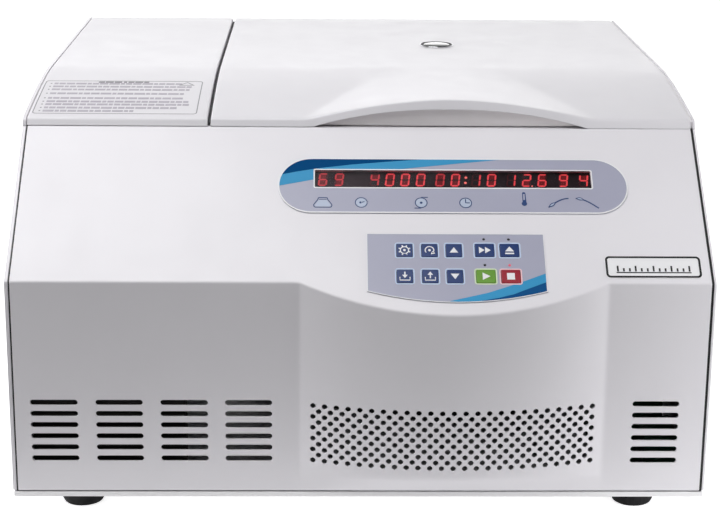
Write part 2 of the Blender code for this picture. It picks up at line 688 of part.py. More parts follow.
FAN_Z = 0.114
COND_HALF_W, COND_HALF_H = 0.072, 0.074
COND_FRONT, COND_BACK = -0.300, -0.276
FIN_GAPS, FIN_PITCH, FIN_GAP_HALF = 11, 0.0125, 0.0020
FIN_GAP_LOW = 0.052             # middle of the lowest gap
condenser = box(
    "condenser", (COOLING_X - COND_HALF_W, COND_FRONT, FAN_Z - COND_HALF_H),
    (COOLING_X + COND_HALF_W, COND_BACK, FAN_Z + COND_HALF_H), ALLOY,
)
gap_half_w = COND_HALF_W + 0.002
fin_gaps = []
for k in range(FIN_GAPS):
    z = FIN_GAP_LOW + FIN_PITCH * k
    fin_gaps.append((
        (COOLING_X - gap_half_w, COND_FRONT - 0.002, z - FIN_GAP_HALF),
        (COOLING_X + gap_half_w, COND_FRONT + 0.007, z + FIN_GAP_HALF),
    ))
cut(condenser, boxes("fin_gaps", fin_gaps))

# ------------------------------------------------------------------------ fan
SHROUD_HALF, SHROUD_BORE = 0.060, 0.055
STRUT_HALF_W, STRUT_HALF_H = 0.0575, 0.004
FAN_FRONT, FAN_BACK = -0.2690, -0.2490
VANE_COUNT, VANE_PITCH_DEG = 5, 55
VANE_SIZE = (0.037, 0.0016, 0.022)
VANE_MID = 0.034                # middle of a vane, from the fan's axis


def fan_point(y):
    return (COOLING_X, y, FAN_Z)


shroud_edge = rounded(
    COOLING_X - SHROUD_HALF, COOLING_X + SHROUD_HALF, FAN_Z - SHROUD_HALF, FAN_Z + SHROUD_HALF,
    0.006, 2,
)
shroud_bore = circle((COOLING_X, FAN_Z), SHROUD_BORE, 28)
shroud = outline("fan_shroud", [shroud_edge, shroud_bore], 0.232, 0.272, XZ, BLACK)
join(shroud, boxes("shroud_struts", [(
    (COOLING_X - STRUT_HALF_W, -0.2370, FAN_Z - STRUT_HALF_H),
    (COOLING_X + STRUT_HALF_W, -0.2330, FAN_Z + STRUT_HALF_H),
)]))
join(shroud, rod("shroud_hub", fan_point(-0.2480), fan_point(-0.2325), 0.020))

fan = rod("fan_blades", fan_point(FAN_FRONT), fan_point(FAN_BACK), 0.019, mat=BLACK)
draft = bmesh.new()
for k in range(VANE_COUNT):
    made = add_block(draft, VANE_SIZE)
    tilt = Matrix.Rotation(math.radians(VANE_PITCH_DEG), 3, "X")
    bmesh.ops.rotate(draft, cent=(0, 0, 0), matrix=tilt, verts=made)
    bmesh.ops.translate(draft, vec=(VANE_MID, 0, 0), verts=made)
    turn = Matrix.Rotation(math.radians(360 / VANE_COUNT * k), 3, "Y")
    bmesh.ops.rotate(draft, cent=(0, 0, 0), matrix=turn, verts=made)
vane_place = at(*fan_point((FAN_FRONT + FAN_BACK) / 2))
join(fan, place(mesh_from(draft, "fan_vanes"), "fan_vanes", None, vane_place))

# ---------------------------------------------------------------- power board
CHIP_LOW = 0.0355               # sunk a little into the board
CHIPS = (
    # left, front, right, back, top
    (0.240, -0.285, 0.262, -0.262, 0.062),
    (0.272, -0.285, 0.306, -0.225, 0.070),
    (0.240, -0.245, 0.262, -0.180, 0.052),
    (0.274, -0.205, 0.304, -0.165, 0.078),
)
board = box("power_board", (0.232, -0.296, 0.034), (0.314, -0.150, 0.036), BOARD)
chips = [
    ((left, near, CHIP_LOW), (right, far, top)) for left, near, right, far, top in CHIPS
]
join(board, boxes("board_components", chips))

# ------------------------------------------------------------------- lid lock
BOLT_Z = 0.308


def bolt_line(name, start, end, radius, mat=None):
    """A rod on the bolt's line, its ends given from the middle of the lid."""
    ends = [(LID_MID + offset, LOCK_Y, BOLT_Z) for offset in (start, end)]
    return rod(name, *ends, radius, 16, mat)


lock = box(
    "lock_body", (LID_MID - 0.047, LOCK_Y - 0.0165, 0.290),
    (LID_MID + 0.023, LOCK_Y + 0.0125, 0.333), DARK_STEEL,
)
cut(lock, box(
    "lock_slot", (LID_MID - SLOT_HALF, SLOT_Y[0], 0.294), (LID_MID + SLOT_HALF, SLOT_Y[1], 0.340),
))
cut(lock, bolt_line("lock_bore", -0.060, 0.018, 0.0035))
bolt = bolt_line("lock_bolt", -0.075, -0.006, 0.0030, STEEL)
join(bolt, bolt_line("bolt_head", -0.075, -0.068, 0.0065))

striker_loops = [
    rounded(LOCK_Y - 0.0060, LOCK_Y + 0.0060, 0.2980, 0.3465, 0.003, 2),
    circle((LOCK_Y, BOLT_Z), 0.0038, 16),
]
striker = outline(
    "latch_striker", striker_loops, LID_MID - 0.0020, LID_MID + 0.0020, YZ, STEEL
)

# ------------------------------------------------------------------------ lid
LID_COLUMNS, LID_SLOPE_ROWS = 22, 8
SIGHT = (0.0925, 0.1430)
SIGHT_R = 0.0190
SIGHT_BORE = SIGHT_R - 0.0018
HINGE_Y, HINGE_Z = 0.3365, 0.3655
HINGE_X = (LID_MID - 0.167, LID_MID + 0.167)


def lid_mesh():
    """The lid's outer skin: a grid whose doubled edge rows and columns fold down."""
    columns = [LID_LEFT + (LID_RIGHT - LID_LEFT) * k / LID_COLUMNS for k in range(LID_COLUMNS + 1)]
    columns = [LID_LEFT, *columns, LID_RIGHT]
    slope_rows = [SHOULDER_Y * (1 - k / LID_SLOPE_ROWS) for k in range(LID_SLOPE_ROWS + 1)]
    rows = [LIP_Y, LIP_Y, LIP_Y + LIP_ROUND, *slope_rows, 0.11, 0.23, LID_BACK, LID_BACK]
    last_i, last_j = len(columns) - 1, len(rows) - 1
    draft = bmesh.new()
    bmesh.ops.create_grid(draft, x_segments=last_i, y_segments=last_j, size=0.5)
    for vert in draft.verts:
        i = round((vert.co.x + 0.5) * last_i)
        j = round((vert.co.y + 0.5) * last_j)
        x, y = columns[i], rows[j]
        surface = lid_height(x, max(y, SHOULDER_Y))
        if j == 0:
            z = LIP_LOW + surface - SHOULDER_Z
        elif j == last_j:
            z = REAR_FOLD_LOW
        elif i in (0, last_i):
            z = LIP_LOW
        elif j == 1:
            z = surface - LIP_FACE_DROP
        elif j == 2:
            z = surface - LIP_BEND_DROP
        else:
            z = surface
        vert.co = (x, y, z)
    bmesh.ops.remove_doubles(draft, verts=draft.verts, dist=1e-5)
    bmesh.ops.dissolve_degenerate(draft, dist=1e-6, edges=draft.edges)
    bmesh.ops.recalc_face_normals(draft, faces=draft.faces)
    # The skin is open, so its normals may come out facing down.
    if sum(face.normal.z * face.calc_area() for face in draft.faces) < 0:
        bmesh.ops.reverse_faces(draft, faces=draft.faces)
    return mesh_from(draft, "lid_shell")


def sight_hole(name, low, high):
    return rod(name, (*SIGHT, low), (*SIGHT, high), SIGHT_BORE, 24)


lid = place(lid_mesh(), "lid_shell", WHITE)
skin = lid.modifiers.new("sheet", "SOLIDIFY")
skin.thickness = SHEET
skin.offset = -1.0
skin.use_even_offset = True
cut(lid, sight_hole("sight_opening", 0.36, 0.39))
hinge_notches = [((x - 0.008, 0.3335, 0.350), (x + 0.008, 0.3450, 0.3728)) for x in HINGE_X]
cut(lid, boxes("hinge_notches", hinge_notches))
smooth(lid, 25)

# Lid liner: a shallow tray, open upwards.
LINER_WALL = 0.0025
LINER_INSET = 0.0075
LINER_FRONT, LINER_BACK = FASCIA_TOP[0] + 0.0215, 0.3250
LINER_LOW, LINER_TOP = 0.3468, 0.3560


def liner_block(name, wall, top, mat=None):
    inset = LINER_INSET + wall
    low = (LID_LEFT + inset, LINER_FRONT + wall, LINER_LOW + wall)
    return box(name, low, (LID_RIGHT - inset, LINER_BACK - wall, top), mat)


liner = liner_block("lid_liner", 0.0, LINER_TOP, LINER)
cut(liner, liner_block("liner_hollow", LINER_WALL, 0.3700))
cut(liner, sight_hole("liner_sight_hole", 0.340, 0.360))

GLASS_R = SIGHT_R - 0.0023
GLASS_LOW = 0.3474
glass_profile = [
    (0, 0.3776), (GLASS_R * 0.5, 0.3773), (GLASS_R * 0.85, 0.3764), (GLASS_R, 0.3757),
    (GLASS_R, GLASS_LOW), (0, GLASS_LOW),
]
glass = turned("sight_glass", glass_profile, at(*SIGHT), CLEAR, 28)
bezel_profile = [
    (SIGHT_R - 0.0005, 0.3782), (SIGHT_R, 0.3776), (SIGHT_R + 0.0002, TOP_Z + GAP),
    (SIGHT_BORE, TOP_Z + GAP), (SIGHT_BORE, 0.3779), (SIGHT_R - 0.0012, 0.3782),
]
bezel = turned("sight_glass_bezel", bezel_profile, at(*SIGHT), CHROME, 28, closed=True)

# --------------------------------------------------------------------- hinges
HINGE = (HINGE_Y, HINGE_Z)
STEM_FRONT, STEM_BACK = 0.3275, 0.3410
STEM_LOW, STEM_TOP = 0.300, 0.3600
bracket_edge = [
    (STEM_FRONT, STEM_LOW), (STEM_BACK, STEM_LOW), (STEM_BACK, STEM_TOP),
    *arc(HINGE, 0.0052, range(0, 181, 30)), (STEM_FRONT, STEM_TOP),
]
bracket_loops = [bracket_edge, circle(HINGE, 0.0026, 12)]
arm_edge = arc(HINGE, 0.0050, range(-120, 91, 30)) + [
    (0.3300, 0.3724), (0.2850, 0.3724), (0.2850, 0.3630), (0.3300, 0.3620),
]
lid_pieces = [lid, liner, glass, bezel, striker]
for label, x in zip(("left", "right"), HINGE_X):
    outline(f"hinge_bracket_{label}", bracket_loops, x - 0.0045, x - 0.0005, YZ, DARK_STEEL)
    arm = outline(f"lid_hinge_arm_{label}", [arm_edge], x, x + 0.0040, YZ, STEEL)
    join(arm, rod(f"hinge_pin_{label}", (x - 0.0065, *HINGE), (x + 0.0020, *HINGE), 0.0022, 12))
    lid_pieces.append(arm)
hang("lid_hinge_axis", (LID_MID, *HINGE), lid_pieces)

# ---------------------------------------------------------------- power inlet
inlet = box(
    "power_inlet", (INLET_X[0] + GAP, 0.3180, INLET_Z[0] + GAP),
    (INLET_X[1] - GAP, BACK_Y - 0.0002, INLET_Z[1] - GAP), BLACK,
)
plug_edge = [                   # (x, z)
    (0.2165, 0.0655), (0.2395, 0.0655), (0.2395, 0.0790), (0.2350, 0.0845),
    (0.2210, 0.0845), (0.2165, 0.0790),
]
cut(inlet, outline("plug_recess", [plug_edge], -0.350, -0.326, XZ))
cut(inlet, box("rocker_well", (0.1945, 0.3240, 0.0635), (0.2105, 0.3500, 0.0865)))

ROCKER = (0.2025, 0.3355, 0.0750)
ROCKER_HALF_W = 0.0070
ROCKER_TILT = Matrix.Rotation(math.radians(10), 2)
rocker_edge = [                 # (y, z) from the rocker's origin, before tilting
    (-0.0060, -0.0030), (-0.0060, 0.0030), (0.0020, 0.0100), (0.0058, 0.0100),
    (0.0048, 0.0), (0.0058, -0.0100), (0.0020, -0.0100),
]
tilted = [tuple(ROCKER_TILT @ Vector(point)) for point in rocker_edge]
outline("power_rocker", [tilted], -ROCKER_HALF_W, ROCKER_HALF_W, at(*ROCKER) @ YZ, BLACK)

# ----------------------------------------------------------------------- feet
FOOT_X, FOOT_Y = 0.266, 0.268
FOOT_TOP = FOOT_H - GAP
foot_profile = [
    (0, FOOT_TOP), (0.0200, FOOT_TOP), (0.0215, FOOT_H - 0.002), (0.0205, 0.0040),
    (0.0185, 0.0), (0, 0.0),
]
for end, y in (("front", -FOOT_Y), ("rear", FOOT_Y)):
    for side, x in (("left", -FOOT_X), ("right", FOOT_X)):
        turned(f"foot_{end}_{side}", foot_profile, at(x, y), RUBBER, 24)
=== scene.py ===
"""A benchtop centrifuge with a sloping control fascia, in metres.

The front faces -Y and +Z is up. The fixed cover is on the left (-X) and the lid on the right.
The front panel stands up to KINK_Z, then leans back as the fascia to the covers' front edge.
"""
import json
import math
from contextlib import contextmanager
import bmesh
import bpy
from mathutils import Matrix, Vector


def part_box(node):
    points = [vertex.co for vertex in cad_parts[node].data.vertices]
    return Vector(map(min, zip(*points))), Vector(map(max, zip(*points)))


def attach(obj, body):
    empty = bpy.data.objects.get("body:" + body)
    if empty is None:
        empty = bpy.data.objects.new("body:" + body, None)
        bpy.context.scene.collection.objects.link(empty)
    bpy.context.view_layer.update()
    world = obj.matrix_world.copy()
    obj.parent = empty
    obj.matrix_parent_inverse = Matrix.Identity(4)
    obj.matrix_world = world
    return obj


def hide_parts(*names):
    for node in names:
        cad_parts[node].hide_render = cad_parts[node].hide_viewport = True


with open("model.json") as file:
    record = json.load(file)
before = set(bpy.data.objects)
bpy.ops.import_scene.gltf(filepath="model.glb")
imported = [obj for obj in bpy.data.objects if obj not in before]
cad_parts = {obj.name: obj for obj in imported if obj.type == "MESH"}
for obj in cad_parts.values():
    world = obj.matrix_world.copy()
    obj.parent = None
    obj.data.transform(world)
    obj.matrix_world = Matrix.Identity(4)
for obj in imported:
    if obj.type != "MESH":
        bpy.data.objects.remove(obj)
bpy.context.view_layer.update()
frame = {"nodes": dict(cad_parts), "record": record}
NODES = frame["nodes"]
SLOT_OF = {entry["node"]: entry["material_slot"] for entry in frame["record"]["subparts"]}

# ------------------------------------------------------------------ dimensions
front_low, front_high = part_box("front_panel")
lid_low, lid_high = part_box("lid_shell")
cover_low, cover_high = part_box("top_left_cover")
side_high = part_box("side_panel_right")[1]
DECK_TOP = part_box("chamber_deck")[1].z

INNER = front_high.x  # half the width between the side panels
EDGE_LEFT, EDGE_RIGHT = -INNER + 0.0007, INNER - 0.0003
PANEL_BOTTOM = front_low.z

# the front panel bulges toward -Y in an arc seen from above
BULGE_DEPTH = 0.0250
BULGE_X, BULGE_HALF = 0.0850, 0.1418
BULGE_RADIUS = (BULGE_HALF**2 + BULGE_DEPTH**2) / (2 * BULGE_DEPTH)
FRONT_Y = front_low.y + BULGE_DEPTH
KINK_Z = 0.2320
EASE = 0.0021  # how far the kink lies behind the front beside the bulge
FASCIA_TOP_Y, FASCIA_TOP_Z = -0.1767, 0.3500
FASCIA_UP = Vector((0.0, FASCIA_TOP_Y - FRONT_Y, FASCIA_TOP_Z - KINK_Z)).normalized()
FASCIA_OUT = Vector((0.0, -FASCIA_UP.z, FASCIA_UP.y))
FASCIA_SLOPE = FASCIA_UP.z / FASCIA_UP.y
CREST_Y, CREST_Z = FASCIA_TOP_Y - 0.0018, FASCIA_TOP_Z - 0.0015

# the tops
TOP_Z = 0.3755
SHOULDER_Y, SHOULDER_Z = -0.1720, 0.3575
LOW_BACK = 0.3560  # foot of the turned-down back
RIM = 0.0020  # radius of the side and back edges
SHEET = 0.0015
LIP_Y = lid_low.y
LIP_LOW = 0.3488
LIP_LEAN = 0.0019
LIP_RADIUS = 0.0016
SETBACK = 0.0017
JOINT_SHIFT = 0.0022
LID_LEFT, LID_RIGHT, LID_BACK = lid_low.x + JOINT_SHIFT, lid_high.x, lid_high.y
COVER_LEFT, COVER_RIGHT = cover_low.x, cover_high.x + JOINT_SHIFT
LID_MID = 0.0870  # x of the hand recess
RECESS_HALF = 0.1325
ARC_HALF, ARC_TAPER = 0.1370, 0.508
SIGHT_X, SIGHT_Y = 0.0925, 0.1430
HINGE_X = (LID_MID - 0.167, LID_MID + 0.167)

# on the fascia, u runs along x and v runs up the slope from the kink
PILL_LEFT, PILL_RIGHT, PILL_LOW, PILL_HIGH = -0.0783, 0.2532, 0.0804, 0.1447
PILL_RADIUS = (PILL_HIGH - PILL_LOW) / 2 - 0.0002
WINDOW_LEFT, WINDOW_RIGHT, WINDOW_LOW, WINDOW_HIGH = -0.0430, 0.2185, 0.1105, 0.1300
PAD_LEFT, PAD_RIGHT, PAD_LOW, PAD_HIGH = 0.0048, 0.1693, -0.0070, 0.0572
PAD_SAG = 0.0119
FIT = 0.00035  # clearance round the keys and the window
KEY_HEIGHT = 0.0144
# name, u, v, width
KEYS = (
    ("set", 0.0396, 0.0380, 0.0148),
    ("rcf", 0.0627, 0.0380, 0.0148),
    ("up", 0.0852, 0.0380, 0.0148),
    ("fast", 0.1136, 0.0383, 0.0177),
    ("open", 0.1366, 0.0383, 0.0177),
    ("save", 0.0394, 0.0093, 0.0148),
    ("call", 0.0626, 0.0093, 0.0148),
    ("down", 0.0853, 0.0093, 0.0148),
    ("start", 0.1135, 0.0094, 0.0177),
    ("stop", 0.1364, 0.0094, 0.0177),
)


# ----------------------------------------------------------------- node graphs
class Graph:
    """A node tree, with short ways to add nodes to it."""

    def __init__(self, tree):
        self.tree = tree
        self.coordinates = self.node("ShaderNodeTexCoord").outputs

    def feed(self, node, inputs):
        """Links sockets to the node's inputs and sets the other values."""
        for key, value in inputs.items():
            if isinstance(value, bpy.types.NodeSocket):
                self.tree.links.new(value, node.inputs[key])
            else:
                node.inputs[key].default_value = value

    def node(self, kind, inputs=None, **settings):
        node = self.tree.nodes.new(kind)
        for setting, value in settings.items():
            setattr(node, setting, value)
        self.feed(node, inputs or {})
        return node

    def noise(self, scale, detail, stretch=None):
        vector = self.coordinates["Object"]
        if stretch:
            mapping = self.node("ShaderNodeMapping", {"Scale": stretch, "Vector": vector})
            vector = mapping.outputs["Vector"]
        inputs = {"Scale": scale, "Detail": detail, "Vector": vector}
        return self.node("ShaderNodeTexNoise", inputs).outputs["Fac"]

    def remap(self, source, low, high, start=0.3, end=0.7, **settings):
        """Maps start..end of the source to low..high."""
        inputs = {"Value": source, "From Min": start, "From Max": end, "To Min": low, "To Max": high}
        return self.node("ShaderNodeMapRange", inputs, **settings).outputs["Result"]

    def mix_colour(self, factor, first, second):
        node = self.node("ShaderNodeMix", {0: factor, 6: first, 7: second}, data_type="RGBA")
        return node.outputs[2]

    def mix_value(self, factor, first, second):
        node = self.node("ShaderNodeMix", {0: factor, 2: first, 3: second}, data_type="FLOAT")
        return node.outputs[0]

    def math(self, operation, first, second):
        return self.node("ShaderNodeMath", {0: first, 1: second}, operation=operation).outputs[0]


def material_graph(name):
    """A new material with its graph and its main shader."""
    material = bpy.data.materials.new(name)
    material.use_nodes = True
    shader = material.node_tree.nodes["Principled BSDF"]
    return material, Graph(material.node_tree), shader


# -------------------------------------------------------------------- materials
MATERIALS = {}
PATCH = 14.0  # scale of the broad drift in colour


def register(name, material):
    MATERIALS[name] = material


def srgb(*channels):
    """Linear colour from 0-255 channels."""
    shares = [channel / 255.0 for channel in channels]
    return tuple(v / 12.92 if v <= 0.04045 else ((v + 0.055) / 1.055) ** 2.4 for v in shares)


def surface(name, colour, rough, slot=None, metal=0.0, vary=0.04, rough_vary=0.08, grain=900.0,
            bump=0.02, bump_size=0.0004, coat=0.0, wear_and_highlight=0.0, wear_and_highlight_colour=(0.9, 0.9, 0.92),
            edge=0.0006, stretch=None, transmission=0.0, shine=0.5):
    """A finish with broad colour drift, roughness drift, a fine grain and soft edges tinted toward
    an edge colour, partly wear and partly painted highlight.
    """
    material, graph, shader = material_graph(name)
    dark = tuple(c * (1 - vary) for c in colour)
    light = tuple(min(1.0, c * (1 + vary)) for c in colour)
    drift = graph.remap(graph.noise(PATCH, detail=4.0, stretch=stretch), low=0.0, high=1.0)
    base = graph.mix_colour(drift, (*dark, 1.0), (*light, 1.0))
    fine = graph.noise(grain, detail=2.0, stretch=stretch)
    rough_noise = graph.noise(PATCH * 3.1, detail=3.0, stretch=stretch)
    roughness = graph.remap(rough_noise, low=rough - rough_vary, high=rough + rough_vary)
    soft_edge = graph.node("ShaderNodeBevel", {"Radius": edge}, samples=4).outputs["Normal"]
    if wear_and_highlight > 0:
        # edges are where the rounded normal departs from the true one; their tint is partly wear,
        # partly painted highlight
        true_normal = graph.node("ShaderNodeNewGeometry").outputs["Normal"]
        inputs = {0: soft_edge, 1: true_normal}
        dot = graph.node("ShaderNodeVectorMath", inputs, operation="DOT_PRODUCT")
        wear_and_highlight_mask = graph.remap(dot.outputs["Value"], low=wear_and_highlight, high=0.0, start=0.80, end=0.995)
        breaks = graph.remap(graph.noise(160.0, detail=4.0), low=0.2, high=1.0)
        base = graph.mix_colour(graph.math("MULTIPLY", wear_and_highlight_mask, breaks), base, (*wear_and_highlight_colour, 1.0))
    bump_inputs = {"Strength": bump, "Distance": bump_size, "Height": fine, "Normal": soft_edge}
    graph.feed(shader, {
        "Base Color": base,
        "Roughness": roughness,
        "Metallic": metal,
        "Coat Weight": coat,
        "Coat Roughness": 0.12,
        "Specular IOR Level": shine,
        "Transmission Weight": transmission,
        "Normal": graph.node("ShaderNodeBump", bump_inputs).outputs["Normal"],
    })
    register(name, material)


def glow(name, colour, strength):
    """A lit part of the red display."""
    material, graph, shader = material_graph(name)
    flicker = graph.noise(420.0, detail=2.0)
    graph.feed(shader, {
        "Base Color": (*[c * 0.6 for c in colour], 1.0),
        "Roughness": 0.5,
        "Emission Color": (*colour, 1.0),
        "Emission Strength": graph.remap(flicker, low=strength * 0.85, high=strength * 1.15),
    })
    register(name, material)


def pane(name, tint, gloss):
    """Thin tinted plastic: see-through, with a soft reflection."""
    material, graph, shader = material_graph(name)
    graph.tree.nodes.remove(shader)
    clear = graph.node("ShaderNodeBsdfTransparent", {"Color": (*tint, 1.0)})
    roughness = graph.remap(graph.noise(60.0, detail=3.0), low=gloss, high=gloss * 2.0)
    reflection_inputs = {"Color": (0.9, 0.9, 0.95, 1.0), "Roughness": roughness}
    reflection = graph.node("ShaderNodeBsdfGlossy", reflection_inputs)
    blend = graph.node("ShaderNodeMixShader", {
        "Fac": graph.node("ShaderNodeFresnel", {"IOR": 1.22}).outputs["Fac"],
        1: clear.outputs["BSDF"],
        2: reflection.outputs["BSDF"],
    })
    graph.feed(graph.tree.nodes["Material Output"], {"Surface": blend.outputs["Shader"]})
    register(name, material)


# Settings shared by families of finishes.
# on the paints the near-white edge colour is a painted highlight on rounded edges and on slot and
# hole rims, broken up like wear
PAINT = dict(rough=0.38, vary=0.010, rough_vary=0.05, grain=1500.0, bump=0.05, bump_size=0.0001,
             coat=0.10, wear_and_highlight=0.5, wear_and_highlight_colour=(0.97, 0.96, 0.98), edge=0.0007)
MOULDED = dict(rough=0.50, grain=1100.0, bump=0.10, bump_size=0.0002, wear_and_highlight=0.15)
KEY = dict(rough=0.34, vary=0.06, grain=2200.0, bump=0.05, bump_size=0.00006,
           coat=0.3, wear_and_highlight=0.5, edge=0.0003)
PRINT = dict(slot="overlay_film", grain=2000.0, bump=0.04, bump_size=0.00005, edge=0.0002)
PRINT_BLUE = dict(rough=0.60, shine=0.04, vary=0.04, **PRINT)
PALE = dict(rough=0.4, vary=0.02, **PRINT)

surface("white_paint", colour=(0.850, 0.832, 0.872), **PAINT)
# a darker copy of the white paint for the covers: painted shade that tones down the stronger light
# on the tops
surface("cover_paint_painted_shade", colour=(0.815, 0.800, 0.838), slot="white_paint", **PAINT)
surface("tray_paint", colour=(0.93, 0.925, 0.94), rough=0.40, vary=0.02, rough_vary=0.06,
        grain=1500.0, bump=0.05, bump_size=0.0001, wear_and_highlight=0.2)
# a pale copy of the seal rubber: painted light that lightens the shaded joints it fills
surface("seat_rubber_painted_light", colour=(0.80, 0.78, 0.80), rough=0.60, slot="seal_rubber", vary=0.03,
        bump=0.12, bump_size=0.0002, wear_and_highlight=0.1)
# a lighter copy of the liner plastic for the hand-recess wall: painted light against the shade under
# the lid's lip
surface("recess_plastic_painted_light", colour=(0.85, 0.81, 0.82), slot="liner_plastic", vary=0.02, **MOULDED)
surface("liner_plastic", colour=(0.70, 0.66, 0.66), vary=0.03, **MOULDED)
surface("stainless_steel", colour=(0.62, 0.62, 0.63), rough=0.26, metal=1.0, vary=0.05,
        rough_vary=0.07, grain=300.0, bump=0.05, bump_size=0.0001, stretch=(1, 1, 14), wear_and_highlight=0.3)
surface("dark_steel", colour=(0.150, 0.150, 0.155), rough=0.42, metal=1.0, vary=0.10,
        rough_vary=0.10, grain=500.0, bump=0.08, bump_size=0.0002, wear_and_highlight=0.4)
surface("alloy", colour=(0.66, 0.67, 0.69), rough=0.34, metal=1.0, rough_vary=0.06,
        grain=700.0, bump=0.08, bump_size=0.0001, wear_and_highlight=0.3)
surface("chrome_trim", colour=(0.80, 0.80, 0.82), rough=0.09, metal=1.0, vary=0.02,
        rough_vary=0.03, grain=200.0, bump=0.01, wear_and_highlight=0.1)
# black rubber, made darker still as painted shade under the tray
surface("foot_rubber", colour=(0.009, 0.009, 0.010), rough=0.80, vary=0.20, rough_vary=0.10,
        grain=800.0, bump=0.25, bump_size=0.0003, wear_and_highlight=0.35, wear_and_highlight_colour=(0.07, 0.07, 0.07))
surface("seal_rubber", colour=(0.05, 0.05, 0.055), rough=0.66, vary=0.12, grain=700.0,
        bump=0.2, bump_size=0.0002, wear_and_highlight=0.2, wear_and_highlight_colour=(0.12, 0.12, 0.12))
surface("copper_tube", colour=(0.70, 0.33, 0.18), rough=0.30, metal=1.0, vary=0.10, grain=300.0,
        bump=0.06, wear_and_highlight=0.2, wear_and_highlight_colour=(0.85, 0.50, 0.32))
surface("black_plastic", colour=(0.022, 0.022, 0.024), rough=0.48, vary=0.15, grain=1200.0,
        bump=0.15, bump_size=0.0002, wear_and_highlight=0.3, wear_and_highlight_colour=(0.08, 0.08, 0.08))
# the film's near-white edge colour is a painted highlight along its edges, broken up like wear
surface("overlay_film", colour=srgb(173, 174, 194), rough=0.34, vary=0.02, rough_vary=0.05,
        grain=2200.0, bump=0.06, bump_size=0.00006, coat=0.2, wear_and_highlight=0.3,
        wear_and_highlight_colour=(0.95, 0.95, 0.97), edge=0.0003)
surface("blue_key", colour=srgb(12, 50, 112), wear_and_highlight_colour=srgb(120, 160, 205), **KEY)
surface("green_key", colour=srgb(104, 158, 44), wear_and_highlight_colour=srgb(190, 215, 160), **KEY)
surface("red_key", colour=srgb(160, 22, 44), wear_and_highlight_colour=srgb(225, 150, 160), **KEY)
surface("circuit_board", colour=(0.012, 0.070, 0.034), rough=0.42, vary=0.15, grain=260.0,
        bump=0.15, bump_size=0.0002)
surface("motor_paint", colour=(0.030, 0.032, 0.036), rough=0.38, vary=0.12, grain=600.0,
        bump=0.12, bump_size=0.0003, wear_and_highlight=0.3, wear_and_highlight_colour=(0.12, 0.12, 0.13))
pane("smoked_acrylic", tint=(0.78, 0.72, 0.74), gloss=0.18)
# near-black condenser fins: painted shade for the dark inside seen through the front slots
surface("fins_painted_shade", colour=(0.035, 0.032, 0.030), rough=0.55, slot="alloy", metal=0.3, vary=0.2,
        grain=500.0, bump=0.1, bump_size=0.0002, wear_and_highlight=0.4, wear_and_highlight_colour=(0.14, 0.12, 0.10))
# the sight lens stands for clear acrylic over the dark chamber: its dark colour is painted shade
surface("lens_painted_shade", colour=(0.10, 0.105, 0.11), rough=0.10, slot="clear_acrylic", vary=0.05,
        rough_vary=0.03, grain=300.0, coat=0.9)
surface("clear_acrylic", colour=(0.62, 0.66, 0.66), rough=0.12, vary=0.02, rough_vary=0.03,
        grain=300.0, coat=0.8, transmission=0.35)
surface("print_white", colour=(0.90, 0.90, 0.92), rough=0.42, vary=0.02, **PRINT)
surface("print_navy", colour=srgb(28, 62, 118), rough=0.42, vary=0.05, **PRINT)
surface("print_blue", colour=srgb(2, 72, 126), **PRINT_BLUE)
surface("print_blue_low", colour=srgb(24, 84, 140), **PRINT_BLUE)
surface("print_cyan", colour=srgb(58, 154, 204), rough=0.45, shine=0.2, vary=0.04, **PRINT)
surface("print_black", colour=(0.012, 0.012, 0.014), rough=0.45, vary=0.10,
        **{**PRINT, "slot": "black_plastic"})
surface("print_grey", colour=srgb(150, 148, 154), rough=0.45, vary=0.05, **PRINT)
surface("module_black", colour=(0.014, 0.010, 0.012), rough=0.5, slot="black_plastic", vary=0.15,
        grain=1500.0, bump=0.06, bump_size=0.0001)
surface("segment_dark", colour=(0.10, 0.010, 0.014), rough=0.5, slot="red_key", vary=0.12,
        grain=1500.0, bump=0.05, bump_size=0.0001)
glow("segment_haze", colour=(0.20, 0.004, 0.008), strength=0.75)
glow("segment_lit", colour=(1.0, 0.085, 0.095), strength=1.0)
glow("segment_soft", colour=(0.80, 0.060, 0.070), strength=0.75)
glow("colon_lit", colour=(1.0, 0.22, 0.18), strength=1.3)
glow("led_lit", colour=(0.55, 0.10, 0.14), strength=0.9)
surface("icon_tint", colour=srgb(186, 197, 218), **PALE)
surface("halo_blue", colour=srgb(205, 222, 248), **PALE)
surface("halo_green", colour=srgb(222, 238, 200), **PALE)
surface("halo_red", colour=srgb(250, 208, 216), **PALE)
surface("print_shadow", colour=srgb(112, 112, 130), rough=0.4, vary=0.03, **PRINT)
surface("print_pale", colour=srgb(184, 178, 190), rough=0.45, vary=0.04, **PRINT)
surface("brass", colour=(0.70, 0.52, 0.25), rough=0.30, slot="copper_tube", metal=1.0, vary=0.06,
        grain=300.0, bump=0.05, wear_and_highlight=0.2)


# --------------------------------------------------------------- plane outlines
def rectangle(left, right, low, high):
    return [(left, low), (right, low), (right, high), (left, high)]


def arc(u, v, radius, start, end, steps):
    """Points from start to end, in degrees."""
    angles = [math.radians(start + (end - start) * k / steps) for k in range(steps + 1)]
    return [(u + radius * math.cos(a), v + radius * math.sin(a)) for a in angles]


def rounded(left, right, low, high, radius, steps):
    """A rectangle with rounded corners."""
    near_left, near_right = left + radius, right - radius
    near_low, near_high = low + radius, high - radius
    points = arc(near_right, near_high, radius, 0, 90, steps)
    points += arc(near_left, near_high, radius, 90, 180, steps)
    points += arc(near_left, near_low, radius, 180, 270, steps)
    points += arc(near_right, near_low, radius, 270, 360, steps)
    return points


def circle(u, v, radius, steps):
    angles = [2 * math.pi * k / steps for k in range(steps)]
    return [(u + radius * math.cos(a), v + radius * math.sin(a)) for a in angles]


def normal_of(start, end):
    """Unit vector to the left of the run from start to end."""
    run = (Vector(end) - Vector(start)).normalized()
    return Vector((-run.y, run.x))


